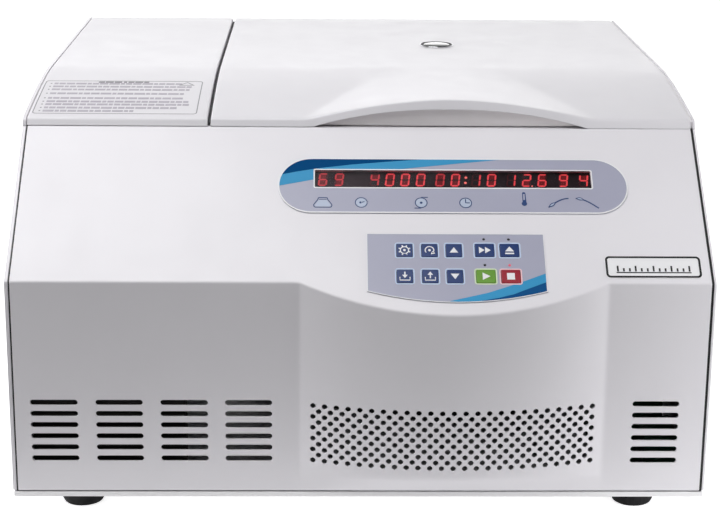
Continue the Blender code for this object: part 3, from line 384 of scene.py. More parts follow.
def line_normal(line, k):
    """Unit vector to the left of an open line at its point k."""
    return normal_of(line[max(0, k - 1)], line[min(len(line) - 1, k + 1)])


def stroke(points, width):
    """The outline of an open line with butt ends."""
    left, right = [], []
    for k, point in enumerate(points):
        offset = line_normal(points, k) * width / 2
        left.append(tuple(Vector(point) + offset))
        right.append(tuple(Vector(point) - offset))
    return left + right[::-1]


def outlined(points, width):
    """Outer and inner loop of a closed line."""
    outer, inner = [], []
    for k, point in enumerate(points):
        before = normal_of(points[k - 1], point)
        after = normal_of(point, points[(k + 1) % len(points)])
        middle = (before + after).normalized()
        offset = middle * ((width / 2) / max(0.35, middle.dot(before)))
        outer.append(tuple(Vector(point) - offset))
        inner.append(tuple(Vector(point) + offset))
    return [outer, inner]


def moved(loops, u, v):
    return [[(x + u, y + v) for x, y in loop] for loop in loops]


def curve_corner(before, corner, after, reach, steps):
    """Points of a soft corner between two straight runs."""
    before, corner, after = Vector(before), Vector(corner), Vector(after)
    back, ahead = before - corner, after - corner
    start = corner + back.normalized() * min(reach, back.length * 0.49)
    end = corner + ahead.normalized() * min(reach, ahead.length * 0.49)
    points = []
    for k in range(steps + 1):
        t = k / steps
        points.append(tuple(start * (1 - t) ** 2 + corner * 2 * t * (1 - t) + end * t * t))
    return points


def tidy(loop):
    """The loop without points that coincide with their neighbour."""
    kept = []
    for point in loop:
        if not kept or (Vector(point) - Vector(kept[-1])).length > 2e-5:
            kept.append(point)
    if (Vector(kept[0]) - Vector(kept[-1])).length <= 2e-5:
        kept.pop()
    return kept


def ribbon(upper, lower, left, right, steps):
    """The area between two curves given as functions of x."""
    stations = [left + (right - left) * k / steps for k in range(steps + 1)]
    top = [(x, upper(x)) for x in stations]
    bottom = [(x, lower(x)) for x in stations]
    return tidy(top + bottom[::-1])


def line_at(table, x):
    """Value at x of straight runs through (x, value) points."""
    if x <= table[0][0]:
        return table[0][1]
    for (x0, y0), (x1, y1) in zip(table, table[1:]):
        if x <= x1:
            return y0 + (y1 - y0) * ((x - x0) / (x1 - x0))
    return table[-1][1]


def frame_matrix(origin, u, v, w):
    """The matrix that takes plane coordinates u, v and height w to the world."""
    return Matrix([(u[row], v[row], w[row], origin[row]) for row in range(3)] + [(0, 0, 0, 1)])


YZ = frame_matrix((0, 0, 0), (0, 1, 0), (0, 0, 1), (1, 0, 0))
XZ = frame_matrix((0, 0, 0), (1, 0, 0), (0, 0, 1), (0, -1, 0))
FASCIA = frame_matrix((0, FRONT_Y, KINK_Z), (1, 0, 0), FASCIA_UP, FASCIA_OUT)


# ----------------------------------------------------------------- mesh helpers
@contextmanager
def editing(mesh):
    """Gives the mesh as a BMesh and writes it back."""
    build = bmesh.new()
    build.from_mesh(mesh)
    yield build
    build.to_mesh(mesh)
    build.free()


def merge_doubles(build, distance):
    bmesh.ops.remove_doubles(build, verts=build.verts, dist=distance)


def recalculate_normals(build):
    bmesh.ops.recalc_face_normals(build, faces=build.faces)


def drop_degenerate(build):
    bmesh.ops.dissolve_degenerate(build, dist=1e-7, edges=build.edges)


def new_object(name, mesh, matrix=None):
    obj = bpy.data.objects.new(name, mesh)
    bpy.context.scene.collection.objects.link(obj)
    if matrix is not None:
        obj.matrix_world = matrix
    return obj


def bake(obj):
    """Applies the object's modifiers to its mesh."""
    graph = bpy.context.evaluated_depsgraph_get()
    mesh = bpy.data.meshes.new_from_object(obj.evaluated_get(graph))
    obj.modifiers.clear()
    old = obj.data
    obj.data = mesh
    if old.users == 0:
        bpy.data.meshes.remove(old)
    return obj


def shade(obj, angle):
    """Smooth shading with sharp edges above the angle, in degrees."""
    obj.data.shade_smooth()
    obj.data.set_sharp_from_angle(angle=math.radians(angle))
    return obj


def clean(obj, distance):
    with editing(obj.data) as build:
        merge_doubles(build, distance)
        recalculate_normals(build)


def add_bevel(obj, width, steps, angle, harden=False):
    bevel = obj.modifiers.new("edge", "BEVEL")
    bevel.width = width
    bevel.segments = steps
    bevel.limit_method = "ANGLE"
    bevel.angle_limit = math.radians(angle)
    bevel.harden_normals = harden


def outline_mesh(name, loops, low, high, join_flat=False):
    """A plate between two heights; loops inside others are holes."""
    curve = bpy.data.curves.new(name, "CURVE")
    curve.dimensions = "2D"
    curve.fill_mode = "BOTH"
    curve.extrude = (high - low) / 2
    for loop in loops:
        spline = curve.splines.new("POLY")
        spline.points.add(len(loop) - 1)
        for point, (u, v) in zip(spline.points, loop):
            point.co = (u, v, 0.0, 1.0)
        spline.use_cyclic_u = True
    draft = new_object(name + "_draft", curve)
    graph = bpy.context.evaluated_depsgraph_get()
    mesh = bpy.data.meshes.new_from_object(draft.evaluated_get(graph))
    bpy.data.objects.remove(draft, do_unlink=True)
    bpy.data.curves.remove(curve)
    with editing(mesh) as build:
        merge_doubles(build, 1e-7)
        bmesh.ops.translate(build, vec=(0, 0, (low + high) / 2), verts=build.verts)
        if join_flat:
            bmesh.ops.dissolve_limit(build, angle_limit=math.radians(0.5),
                                     verts=build.verts, edges=build.edges)
        recalculate_normals(build)
    mesh.name = name
    return mesh


def outline(name, loops, low, high, matrix, bevel=0.0, steps=2):
    obj = new_object(name, outline_mesh(name, loops, low, high, join_flat=bevel > 0), matrix)
    if not bevel:
        return shade(obj, 35)
    obj.data.shade_smooth()
    add_bevel(obj, bevel, steps, angle=40.0, harden=True)
    return bake(obj)


def face_toward(obj, axis):
    """Turns the faces so that they look mostly along axis."""
    total = sum((face.normal * face.area for face in obj.data.polygons), Vector())
    if total.dot(Vector(axis)) < 0:
        obj.data.flip_normals()


def thicken(obj, thickness):
    """Grows the sheet behind its faces."""
    solid = obj.modifiers.new("sheet", "SOLIDIFY")
    solid.thickness = thickness
    solid.offset = -1.0
    solid.use_even_offset = True
    solid.use_quality_normals = True
    return bake(obj)


def sheet(name, rows, axis, thickness):
    """A sheet through rows of points that faces axis; coinciding corners are merged."""
    mesh = bpy.data.meshes.new(name)
    with editing(mesh) as build:
        grid = [[build.verts.new(point) for point in row] for row in rows]
        for low, high in zip(grid, grid[1:]):
            for i in range(len(low) - 1):
                build.faces.new((low[i], low[i + 1], high[i + 1], high[i]))
        merge_doubles(build, 2e-6)
        drop_degenerate(build)
        recalculate_normals(build)
    obj = new_object(name, mesh)
    face_toward(obj, axis)
    return thicken(obj, thickness)


def cut(obj, name, loops, low, high, matrix=None):
    """Cuts the outline's plate out of the object."""
    cutter = new_object(name, outline_mesh(name, loops, low, high), matrix)
    boolean = obj.modifiers.new("cut", "BOOLEAN")
    boolean.operation = "DIFFERENCE"
    boolean.solver = "EXACT"
    boolean.object = cutter
    bake(obj)
    bpy.data.objects.remove(cutter, do_unlink=True)


def lathe(name, profile, steps, matrix):
    """A piece turned round z from a profile of (radius, height), closed unless on the axis."""
    mesh = bpy.data.meshes.new(name)
    with editing(mesh) as build:
        verts = [build.verts.new((radius, 0.0, z)) for radius, z in profile]
        edges = [build.edges.new(pair) for pair in zip(verts, verts[1:])]
        if profile[0][0] > 1e-9 or profile[-1][0] > 1e-9:
            edges.append(build.edges.new((verts[-1], verts[0])))
        bmesh.ops.spin(build, geom=verts + edges, cent=(0, 0, 0), axis=(0, 0, 1),
                       angle=2 * math.pi, steps=steps, use_duplicate=False)
        merge_doubles(build, 1e-6)
        drop_degenerate(build)
        recalculate_normals(build)
    return shade(new_object(name, mesh, matrix), 35)


def finish_piece(obj, material, body="cabinet", replaces=None):
    """Gives a piece its material, the body it moves with and the CAD node it stands for."""
    obj.data.materials.clear()
    obj.data.materials.append(MATERIALS[material])
    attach(obj, body)
    if replaces:
        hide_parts(replaces)


def plate(name, loops, low, high, material, matrix=FASCIA, bevel=0.0, steps=2,
          body="cabinet", replaces=None):
    obj = outline(name, loops, low, high, matrix, bevel, steps)
    finish_piece(obj, material, body, replaces)


def refine(node, width, steps=2, angle=30.0, join_flat=True, keep_sharp=True):
    """Welds a CAD node's vertices, joins its flat faces and rounds its edges."""
    obj = NODES[node]
    obj.modifiers.new("weld", "WELD").merge_threshold = 2e-6
    if join_flat:
        flat = obj.modifiers.new("flat", "DECIMATE")
        flat.decimate_type = "DISSOLVE"
        flat.angle_limit = math.radians(0.6)
    add_bevel(obj, width, steps, angle)
    obj.data.shade_smooth()
    obj.modifiers.new("normals", "WEIGHTED_NORMAL").keep_sharp = keep_sharp


# ----------------------------------------------------------------- top surfaces
def top_height(y):
    """Level at the back, falling toward the front."""
    if y >= 0:
        return TOP_Z
    return TOP_Z - (TOP_Z - SHOULDER_Z) * (y / SHOULDER_Y) ** 1.5


def grip_rise(x, y):
    """How much of the crown over the hand recess stands at a place, 0 to 1."""
    half = max(0.030, ARC_HALF - ARC_TAPER * (y - SHOULDER_Y))
    inside = 1.0 - (abs(x - LID_MID) / half) ** 1.75
    blend = 0.05
    return min(1.0, 0.5 * (inside + math.sqrt(inside * inside + blend * blend)))


def lid_height(x, y):
    plain = top_height(y)
    crown = TOP_Z + 0.0007 * min(1.0, max(0.0, (-y - 0.03) / 0.12))
    return plain + (crown - plain) * grip_rise(x, y)


def settle(x):
    """The joint under the covers' front edge rises slightly toward the left."""
    return 0.0007 * max(0.0, min(1.0, (LID_MID - x) / 0.38))


def setback(x):
    """The front edge stands slightly further back beside the hand recess than over it."""
    inside = max(0.0, 1.0 - (abs(x - LID_MID) / RECESS_HALF) ** 2)
    return SETBACK * (1.0 - min(1.0, inside * 1.5))


def lip_lift(x):
    """How far the lid's front edge stands above LIP_LOW."""
    return settle(x) + 0.0180 * max(0.0, 1.0 - (abs(x - LID_MID) / RECESS_HALF) ** 2.3)


def capped_top(name, left, right, height, lift):
    """A folded top: rounded front lip, rounded side edges and a turned-down back."""
    angles = [math.radians(a) for a in (0, 22.5, 45, 67.5, 90)]
    # inset from the edge and drop below the surface round a rim
    roll = [(RIM * (1 - math.cos(a)), RIM - RIM * math.sin(a)) for a in angles]
    count = int((right - left) / 0.0034)
    span = right - left - 2 * RIM
    across = [(left, None)] + [(left + inset, drop) for inset, drop in roll]
    across += [(left + RIM + span * k / count, 0.0) for k in range(1, count)]
    across += [(right - inset, drop) for inset, drop in reversed(roll)] + [(right, None)]
    start = LIP_Y + LIP_LEAN + LIP_RADIUS
    behind_lip = [(start + (0.030 - start) * k / 46, 0.0) for k in range(1, 47)]
    behind_lip += [(y, 0.0) for y in (0.06, 0.10, 0.13, 0.155, 0.18, 0.22, 0.27, 0.31)]
    behind_lip += [(LID_BACK - inset, drop) for inset, drop in reversed(roll)]
    behind_lip += [(LID_BACK, None)]
    columns = []
    for x, side_drop in across:
        back = setback(x)
        radius = LIP_RADIUS + 0.0026 * back / SETBACK
        along = [(LIP_Y, None)]
        for a in map(math.radians, (16, 30, 44, 58, 74, 90)):
            y = LIP_Y + LIP_LEAN + radius * (1 - math.cos(a))
            along.append((y, radius * (1 - math.sin(a))))
        along += behind_lip
        column = []
        for j, (y, drop) in enumerate(along):
            y += back * max(0.0, 1.0 - (y - LIP_Y) / 0.020)
            if j == 0:
                z = LIP_LOW + lift(x)
            elif j == len(along) - 1:
                z = LOW_BACK
            elif side_drop is None:
                z = LOW_BACK if j >= len(along) - len(roll) - 1 else LIP_LOW
            else:
                z = height(x, y) - max(drop, side_drop) - min(drop, side_drop) * 0.35
            column.append((x, y, z))
        columns.append(column)
    return sheet(name, list(zip(*columns)), (0, 0, 1), SHEET)


def lid_cover():
    lid = capped_top("lid_cover", LID_LEFT, LID_RIGHT, lid_height, lip_lift)
    cut(lid, "sight_cut", [circle(SIGHT_X, SIGHT_Y, 0.0172, 48)], 0.365, 0.385)
    notches = [rectangle(x - 0.008, x + 0.008, 0.333, 0.346) for x in HINGE_X]
    cut(lid, "notch_cut", notches, 0.348, 0.3727)
    clean(lid, 1e-6)
    shade(lid, 32)
    finish_piece(lid, "cover_paint_painted_shade", "lid_assembly", "lid_shell")


def left_cover():
    cover = capped_top("left_cover", COVER_LEFT, COVER_RIGHT, lambda x, y: top_height(y), settle)
    shade(cover, 32)
    finish_piece(cover, "cover_paint_painted_shade", replaces="top_left_cover")


def lid_inner_pan():
    """Liner of the lid, an upside-down pan."""
    left, right = LID_LEFT + 0.0075, LID_RIGHT - 0.0075
    near, far = -0.1552, 0.3250
    low = 0.3468
    corner = 0.012
    loop = rounded(left, right, near, far, 0.010, 6)
    # long sides are divided so that the wall can follow the lid
    dense = []
    for k, (x, y) in enumerate(loop):
        next_x, next_y = loop[(k + 1) % len(loop)]
        steps = max(1, int((Vector((x, y)) - Vector((next_x, next_y))).length / 0.010))
        for i in range(steps):
            t = i / steps
            dense.append((x + (next_x - x) * t, y + (next_y - y) * t))

    def inward(value, start, end, inset):
        offset = value - (start + end) / 2
        if abs(offset) > (end - start) / 2 - corner:
            return value - math.copysign(inset, offset)
        return value

    mesh = bpy.data.meshes.new("lid_inner_pan")
    with editing(mesh) as build:
        rings = []
        for inset, z in ((0.0022, low), (0.0008, low + 0.0006), (0.0, low + 0.0022)):
            rings.append([
                build.verts.new((inward(x, left, right, inset), inward(y, near, far, inset), z))
                for x, y in dense
            ])
        rings.append([
            build.verts.new((x, y, max(low + 0.0065, lid_height(x, y) - 0.0046)))
            for x, y in dense
        ])
        for below, above in zip(rings, rings[1:]):
            for i in range(len(below)):
                j = (i + 1) % len(below)
                build.faces.new((below[i], below[j], above[j], above[i]))
        build.faces.new(rings[0])
        recalculate_normals(build)
    pan = new_object("lid_inner_pan", mesh)
    face_toward(pan, (0, 0, -1))
    thicken(pan, 0.0022)
    cut(pan, "pan_cut", [circle(SIGHT_X, SIGHT_Y, 0.0172, 48)], 0.340, 0.356)
    shade(pan, 35)
    finish_piece(pan, "liner_plastic", "lid_assembly", "lid_liner")


def grip_wall():
    """The moulded wall that closes the hand recess behind the raised lip, coloured lighter than the
    liner as painted light in the shaded recess.
    """
    half = 0.1400
    count = 66
    rows = []
    for k in range(count + 1):
        x = LID_MID - half + 2 * half * k / count
        base = CREST_Z + settle(x) + 0.0008
        edge = LIP_LOW + lip_lift(x)
        low = max(edge + 0.0002, base + 0.0022)
        high = max(edge + 0.0022, base + 0.0030)
        # distance behind the lip, z
        section = (
            (0.0140, base + 0.0002), (0.0072, base), (0.0058, base + 0.0003),
            (0.0050, base + 0.0013), (0.0040, low), (0.0042, high), (0.0100, high + 0.0004),
        )
        rows.append([(x, LIP_Y + depth + setback(x), z) for depth, z in section])
    wall = shade(sheet("grip_wall", rows, (0, -1, 0), 0.0016), 40)
    finish_piece(wall, "recess_plastic_painted_light", "lid_assembly")


def seat_strip(name, left, right):
    """A pale strip on which the covers' front edge sits; its pale colour is painted light in the
    shaded joint.
    """
    count = 14
    rows = []
    for k in range(count + 1):
        x = left + (right - left) * k / count
        low, high = CREST_Z + settle(x) - 0.0004, LIP_LOW + settle(x) - 0.0001
        # distance behind the crest, z
        section = (
            (0.0100, low), (0.0009, low), (0.0007, low + 0.0001),
            (0.0007, high - 0.0001), (0.0009, high), (0.0100, high),
        )
        rows.append([(x, CREST_Y + depth, z) for depth, z in section])
    finish_piece(shade(sheet(name, rows, (0, -1, 0), 0.0006), 40), "seat_rubber_painted_light")


def lid_joint_strip():
    """Soft strip that fills the joint between the fixed cover and the lid."""
    front, back = LIP_Y + 0.0040, 0.3365
    stations = [front + (back - front) * k / 40 for k in range(41)]
    loop = [(y, top_height(y) - 0.0040) for y in stations]
    loop += [
        (back, DECK_TOP + 0.0010), (CREST_Y + 0.0160, DECK_TOP + 0.0010),
        (CREST_Y + 0.0160, CREST_Z + 0.0008), (front, CREST_Z + 0.0008),
    ]
    plate("lid_joint_strip", [loop], COVER_RIGHT + 0.0004, LID_LEFT - 0.0006, "seal_rubber",
          matrix=YZ, bevel=0.0003)


lid_cover()
left_cover()
lid_inner_pan()
grip_wall()
seat_strip("seat_strip_left", -0.3190, COVER_RIGHT - 0.0004)
seat_strip("seat_strip_lid_left", LID_LEFT + 0.0006, LID_MID - 0.1330)
seat_strip("seat_strip_lid_right", LID_MID + 0.1330, 0.3188)
lid_joint_strip()


# ------------------------------------------------------------------ front panel
def key_loop(key, margin, radius, steps):
    """Outline round a key."""
    _, u, v, width = key
    half, half_height = width / 2, KEY_HEIGHT / 2
    return rounded(u - half - margin, u + half + margin,
                   v - half_height - margin, v + half_height + margin, radius, steps)


def window_outline(margin, radius, steps):
    return rounded(WINDOW_LEFT - margin, WINDOW_RIGHT + margin,
                   WINDOW_LOW - margin, WINDOW_HIGH + margin, radius, steps)


KEY_HOLES = [key_loop(key, FIT, 0.0012, 3) for key in KEYS]
WINDOW_HOLE = window_outline(FIT, 0.0012, 3)

# slots in the front beside the bulge: left, right, z of the top slot, pitch
SLOT_GROUPS = (
    (-0.3055, -0.2623, 0.1175, 0.0110),
    (-0.2451, -0.2022, 0.1175, 0.0110),
    (-0.1852, -0.1420, 0.1175, 0.0110),
    (-0.1253, -0.0825, 0.1175, 0.0110),
    (0.2536, 0.2965, 0.1170, 0.0112),
)
# round holes in the bulge, in two staggered grids
HOLE_LEFT, HOLE_TOP = -0.0442, 0.1165
HOLE_PITCH_X, HOLE_PITCH_Z = 0.0108, 0.01076
HOLE_GRIDS = ((25, 6, 0.0), (24, 5, 0.5))  # columns, rows, shift in pitches


def bow(x):
    """How far the front stands out at x."""
    soft = 0.0005  # rounds the foot of the bulge
    flat = 0.03
    offset = x - BULGE_X
    raw = math.sqrt(max(0.0, BULGE_RADIUS**2 - offset * offset)) - (BULGE_RADIUS - BULGE_DEPTH)
    value = 0.5 * (raw + math.sqrt(raw * raw + soft * soft))
    rest = 0.5 * (math.sqrt(flat**2 + soft * soft) - flat)
    return min(BULGE_DEPTH - 0.00001, max(0.0, value - rest))


def front_columns():
    """Stations along x, dense where the bulge begins and ends."""
    left, right = BULGE_X - BULGE_HALF, BULGE_X + BULGE_HALF
    stations = [EDGE_LEFT, EDGE_LEFT + 0.0015]
    # start, end, number of steps
    for start, end, steps in (
        (-0.30, left - 0.014, 8),
        (left - 0.012, left + 0.012, 16),
        (left + 0.015, right - 0.015, 52),
        (right - 0.012, right + 0.012, 16),
        (right + 0.016, EDGE_RIGHT - 0.0015, 4),
    ):
        stations += [start + (end - start) * k / steps for k in range(steps + 1)]
    return stations + [EDGE_RIGHT]


def front_profile(x):
    """The section of the front at x as (y, z), from the foot to the shelf under the covers."""
    bulge = bow(x)
    out = bulge * (1.0 + EASE / BULGE_DEPTH) - EASE
    rise = settle(x)
    flange = (FRONT_Y + 0.014, PANEL_BOTTOM + 0.0009)
    foot = (FRONT_Y, PANEL_BOTTOM + 0.0009)
    under = (FRONT_Y - bulge, 0.0520)
    brow = (FRONT_Y - out, KINK_Z - out * FASCIA_SLOPE)
    crest = (CREST_Y + rise / FASCIA_SLOPE, CREST_Z + rise)
    shelf = (CREST_Y + 0.0150, CREST_Z + rise)
    end = (CREST_Y + 0.0150, DECK_TOP + 0.0006)
    points = [flange]
    points += curve_corner(flange, foot, under, 0.0020, 4)
    points += curve_corner(foot, under, brow, 0.0075, 8)
    points += curve_corner(under, brow, crest, 0.0018, 6)
    for t in (0.25, 0.5, 0.75):
        points.append((brow[0] * (1 - t) + crest[0] * t, brow[1] * (1 - t) + crest[1] * t))
    points += curve_corner(brow, crest, shelf, 0.0017, 6)
    points += curve_corner(crest, shelf, end, 0.0015, 3)
    return points + [end]


def front_fascia():
    rows = [[(x, y, z) for y, z in front_profile(x)] for x in front_columns()]
    front = sheet("front_fascia", rows, (0, -1, 0), 0.0020)
    slots = []
    for left, right, top, pitch in SLOT_GROUPS:
        for row in range(6):
            z = top - row * pitch
            slots.append(rounded(left - 0.0004, right + 0.0004, z - 0.0027, z + 0.0027,
                                 0.00265, 7))
    cut(front, "slot_cut", slots, -FRONT_Y - 0.006, -FRONT_Y + 0.006, XZ)
    cut(front, "fascia_cut", KEY_HOLES + [WINDOW_HOLE], -0.006, 0.004, FASCIA)
    holes = []
    for columns, hole_rows, shift in HOLE_GRIDS:
        for i in range(columns):
            for row in range(hole_rows):
                x = HOLE_LEFT + (i + shift) * HOLE_PITCH_X
                z = HOLE_TOP - (row + shift) * HOLE_PITCH_Z
                holes.append(circle(x, z, 0.00255, 16))
    cut(front, "hole_cut", holes, 0.300, 0.352, XZ)
    clean(front, 1e-7)
    shade(front, 30)
    finish_piece(front, "white_paint", replaces="front_panel")


front_fascia()

# ---------------------------------------------------------------- display panel
FILM_TOP = 0.0009
INK = 0.00010
BORDER = 0.0014


def ink(name, loops, material, base=FILM_TOP, depth=INK, matrix=FASCIA):
    """A print just above base."""
    plate(name, loops, base + 0.00001, base + depth, material, matrix)


def pill_outline(inset):
    return rounded(PILL_LEFT + inset, PILL_RIGHT - inset, PILL_LOW + inset, PILL_HIGH - inset,
                   PILL_RADIUS - inset, 20)


plate("display_film", [pill_outline(0.0), WINDOW_HOLE], 0.0002, FILM_TOP, "overlay_film",
      bevel=0.0002, replaces="display_overlay")
ink("display_border", [pill_outline(0.0), pill_outline(BORDER)], "print_white")
ink("window_border", [window_outline(0.0016, 0.0020, 6), WINDOW_HOLE], "print_white")

# two sweeping bands in the upper left of the display panel, lower edges as (u, v)
BLUE_EDGE = (
    (-0.0777, 0.1242), (-0.0600, 0.1284), (-0.0400, 0.1324),
    (-0.0084, 0.1369), (0.0278, 0.1406), (0.0600, 0.1435),
)
CYAN_EDGE = (
    (-0.0777, 0.1115), (-0.0600, 0.1155), (-0.0446, 0.1190), (0.0, 0.1262),
    (0.0420, 0.1322), (0.0900, 0.1382), (0.1340, 0.1435),
)
BAND_LEFT, BLUE_RIGHT = PILL_LEFT + 0.0015, 0.0590
OVER_WINDOW, BESIDE_WINDOW = WINDOW_HIGH + 0.0016, WINDOW_LEFT - 0.0016
BEYOND = 1.0  # outside the panel, so that the panel's edge decides


def pill_edge(x):
    """Lower and upper edge of the panel inside its border, rounded at the left end only."""
    radius = PILL_RADIUS - BORDER
    centre = PILL_LEFT + BORDER + radius
    if x < centre:
        reach = math.sqrt(max(0.0, radius * radius - (centre - x) ** 2))
        middle = PILL_LOW + (PILL_HIGH - PILL_LOW) / 2
        return middle - reach, middle + reach
    return PILL_LOW + BORDER, PILL_HIGH - BORDER


def display_band(upper, lower, left, right, steps=60):
    def top(x):
        return min(upper(x), pill_edge(x)[1])

    def bottom(x):
        return min(max(lower(x), pill_edge(x)[0]), top(x))

    return ribbon(top, bottom, left, right, steps)


def blue_lower(x):
    edge = line_at(BLUE_EDGE, x)
    return edge if x < BESIDE_WINDOW else max(OVER_WINDOW, edge)


def cyan_upper(x):
    return line_at(BLUE_EDGE, x) - 0.00002 if x < BLUE_RIGHT else BEYOND


ink("display_band_blue", [display_band(lambda x: BEYOND, blue_lower, BAND_LEFT, BLUE_RIGHT)],
    "print_blue")
ink("display_band_cyan", [
    display_band(cyan_upper, lambda x: line_at(CYAN_EDGE, x), BAND_LEFT, BESIDE_WINDOW, 24),
    display_band(cyan_upper, lambda x: max(OVER_WINDOW, line_at(CYAN_EDGE, x)), -0.0415, 0.1330),
], "print_cyan")

# LED modules behind the window, with seven-segment digits on their face
MODULE_FACE = -0.0032
module_loop = rounded(WINDOW_LEFT - 0.0020, WINDOW_RIGHT + 0.0020,
                      WINDOW_LOW - 0.0020, WINDOW_HIGH + 0.0045, 0.001, 3)
plate("display_modules", [module_loop], -0.0078, MODULE_FACE, "module_black", bevel=0.0003)
plate("display_lens", [window_outline(0.0, 0.0010, 4)], -0.0001, 0.0011, "smoked_acrylic",
      bevel=0.0003, replaces="display_window")

LIT_BARS = {"0": "abcdef", "1": "bc", "2": "abged", "4": "fgbc", "6": "afgedc", "9": "abcdfg"}
# ends of the seven bars, in halves of the digit's width and height
BARS = {
    "a": ((-1, 1), (1, 1)), "g": ((-1, 0), (1, 0)), "d": ((-1, -1), (1, -1)),
    "f": ((-1, 1), (-1, 0)), "b": ((1, 1), (1, 0)),
    "e": ((-1, 0), (-1, -1)), "c": ((1, 0), (1, -1)),
}
DIGIT_HALF_HEIGHT, DIGIT_HALF_WIDTH = 0.0134 / 2, 0.0070 / 2
BAR_HALF = 0.0016 / 2
BAR_GAP = 0.00020
SLANT = math.tan(math.radians(7))
# The window is looked at from below its normal, so the digits sit a little high behind it.
DIGIT_V = (WINDOW_LOW + WINDOW_HIGH) / 2 + 0.0017
# digit, u of its centre, 1 for bright or 0 for soft
READOUT = (
    ("6", -0.0356, 0), ("9", -0.0204, 0),
    ("4", 0.0135, 0), ("0", 0.0279, 1), ("0", 0.0424, 1), ("0", 0.0571, 1),
    ("0", 0.0756, 0), ("0", 0.0901, 1), ("1", 0.1098, 1), ("0", 0.1245, 1),
    ("1", 0.1432, 1), ("2", 0.1580, 1), ("6", 0.1728, 1),
    ("9", 0.1930, 1), ("4", 0.2122, 1),
)
NO_HAZE = {("1", 1), ("1", -1), ("4", -1), ("2", 1)}  # digit, upper (1) or lower (-1) half


def slanted(points, u):
    """Points about a digit's centre, leaned and put in place."""
    return [(u + x + y * SLANT, DIGIT_V + y) for x, y in points]


def bar_loop(ends, u):
    """A pointed bar between two corners of a digit."""
    start, end = [Vector((x * DIGIT_HALF_WIDTH, y * DIGIT_HALF_HEIGHT)) for x, y in ends]
    run = (end - start).normalized()
    side = Vector((-run.y, run.x))
    start, end = start + run * BAR_GAP, end - run * BAR_GAP
    along, out = run * BAR_HALF, side * BAR_HALF
    return slanted([start, start + along + out, end - along + out,
                    end, end - along - out, start + along - out], u)


def haze_loop(half, u):
    """The field inside the upper or lower half of a digit."""
    width = DIGIT_HALF_WIDTH - BAR_HALF - 0.0002
    height = DIGIT_HALF_HEIGHT - BAR_HALF - 0.0002
    low, high = sorted((half * (BAR_HALF + 0.0003), half * height))
    return slanted(rectangle(-width, width, low, high), u)


def display_digits():
    lit, soft, unlit, haze = [], [], [], []
    for digit, u, bright in READOUT:
        for letter, ends in BARS.items():
            lit_group = lit if bright else soft
            group = lit_group if letter in LIT_BARS[digit] else unlit
            group.append(bar_loop(ends, u))
        haze += [haze_loop(half, u) for half in (1, -1) if (digit, half) not in NO_HAZE]
    colon = [circle(0.0999 + v * SLANT, DIGIT_V + v, 0.0013, 16) for v in (-0.0032, 0.0030)]
    point = [circle(0.1628, DIGIT_V - DIGIT_HALF_HEIGHT, 0.0008, 12)]
    for part, loops, top, material in (
        ("lit", lit, -0.00305, "segment_lit"),
        ("soft", soft, -0.00305, "segment_soft"),
        ("unlit", unlit, -0.0031, "segment_dark"),
        ("haze", haze, -0.00312, "segment_haze"),
        ("colon", colon, -0.00305, "colon_lit"),
        ("point", point, -0.00305, "colon_lit"),
    ):
        plate("digits_" + part, loops, MODULE_FACE, top, material)


display_digits()

# --------------------------------------------------- pictograms under the window
ICON_V = 0.0924
BOWL_U, DIAL_U, SPEED_U, CLOCK_U = -0.0358, 0.0003, 0.0566, 0.0984
ICON_RADIUS, ICON_LINE = 0.0060, 0.0009


def soften(points, radius):
    """A closed loop with its corners rounded."""
    loop = []
    for k, point in enumerate(points):
        loop += curve_corner(points[k - 1], point, points[(k + 1) % len(points)], radius, 4)
    return loop


def ring(u):
    radii = (ICON_RADIUS, ICON_RADIUS - ICON_LINE)
    return [circle(u, ICON_V, radius, 40) for radius in radii]


def spoke(u, angle, start, end, width):
    """A stroke along a radius of a round icon."""
    cos, sin = math.cos(math.radians(angle)), math.sin(math.radians(angle))
    ends = [(u + radius * cos, ICON_V + radius * sin) for radius in (start, end)]
    return stroke(ends, width)


def display_icons():
    bowl = soften([
        (-0.0044, 0.0054), (-0.0044, 0.0036), (-0.0088, -0.0030), (-0.0078, -0.0056),
        (0.0078, -0.0056), (0.0088, -0.0030), (0.0044, 0.0036), (0.0044, 0.0054),
    ], 0.0011)
    # the rotor in its bowl
    loops = outlined(bowl, ICON_LINE) + [stroke([(-0.0036, 0.0034), (0.0036, 0.0034)], 0.0006)]
    loops = moved(loops, BOWL_U, ICON_V)
    # set dial
    loops += ring(DIAL_U)
    loops.append(spoke(DIAL_U, 20, 0.0, 0.0032, ICON_LINE))
    loops.append(circle(-0.0004, ICON_V, 0.0012, 12))
    loops.append(circle(0.0060, ICON_V + 0.0008, 0.0009, 10))
    # speed: a rotor with two tangential tails
    loops += ring(SPEED_U) + [circle(SPEED_U, ICON_V, 0.0013, 16)]
    for side in (1, -1):
        v = ICON_V + side * 0.0062
        loops.append(stroke([(SPEED_U, v), (SPEED_U + side * 0.0064, v)], 0.0010))
    # clock
    loops += ring(CLOCK_U)
    loops.append(spoke(CLOCK_U, 90, -0.0003, 0.0044, 0.0010))
    loops.append(spoke(CLOCK_U, 0, 0.0006, 0.0040, 0.0010))
    ink("display_icons", loops, "print_navy")
    tints = moved([[
        (-0.0038, 0.0028), (0.0038, 0.0028), (0.0074, -0.0030),
        (0.0066, -0.0048), (-0.0066, -0.0048), (-0.0074, -0.0030),
    ]], BOWL_U, ICON_V)
    tints += [circle(u, ICON_V, 0.0050, 32) for u in (DIAL_U, SPEED_U, CLOCK_U)]
    ink("display_icon_fills", tints, "icon_tint", depth=0.00004)


def temperature_icon():
    stem = arc(0, 0.0, 0.0026, 128, 412, 20)[:-1] + [(0.0016, 0.0115)]
    stem += arc(0, 0.0118, 0.0016, 0, 180, 8)
    bore = rectangle(-0.0008, 0.0008, 0.0042, 0.0112)
    ink("temperature_icon", moved([stem, bore], 0.1537, 0.0918), "print_navy")


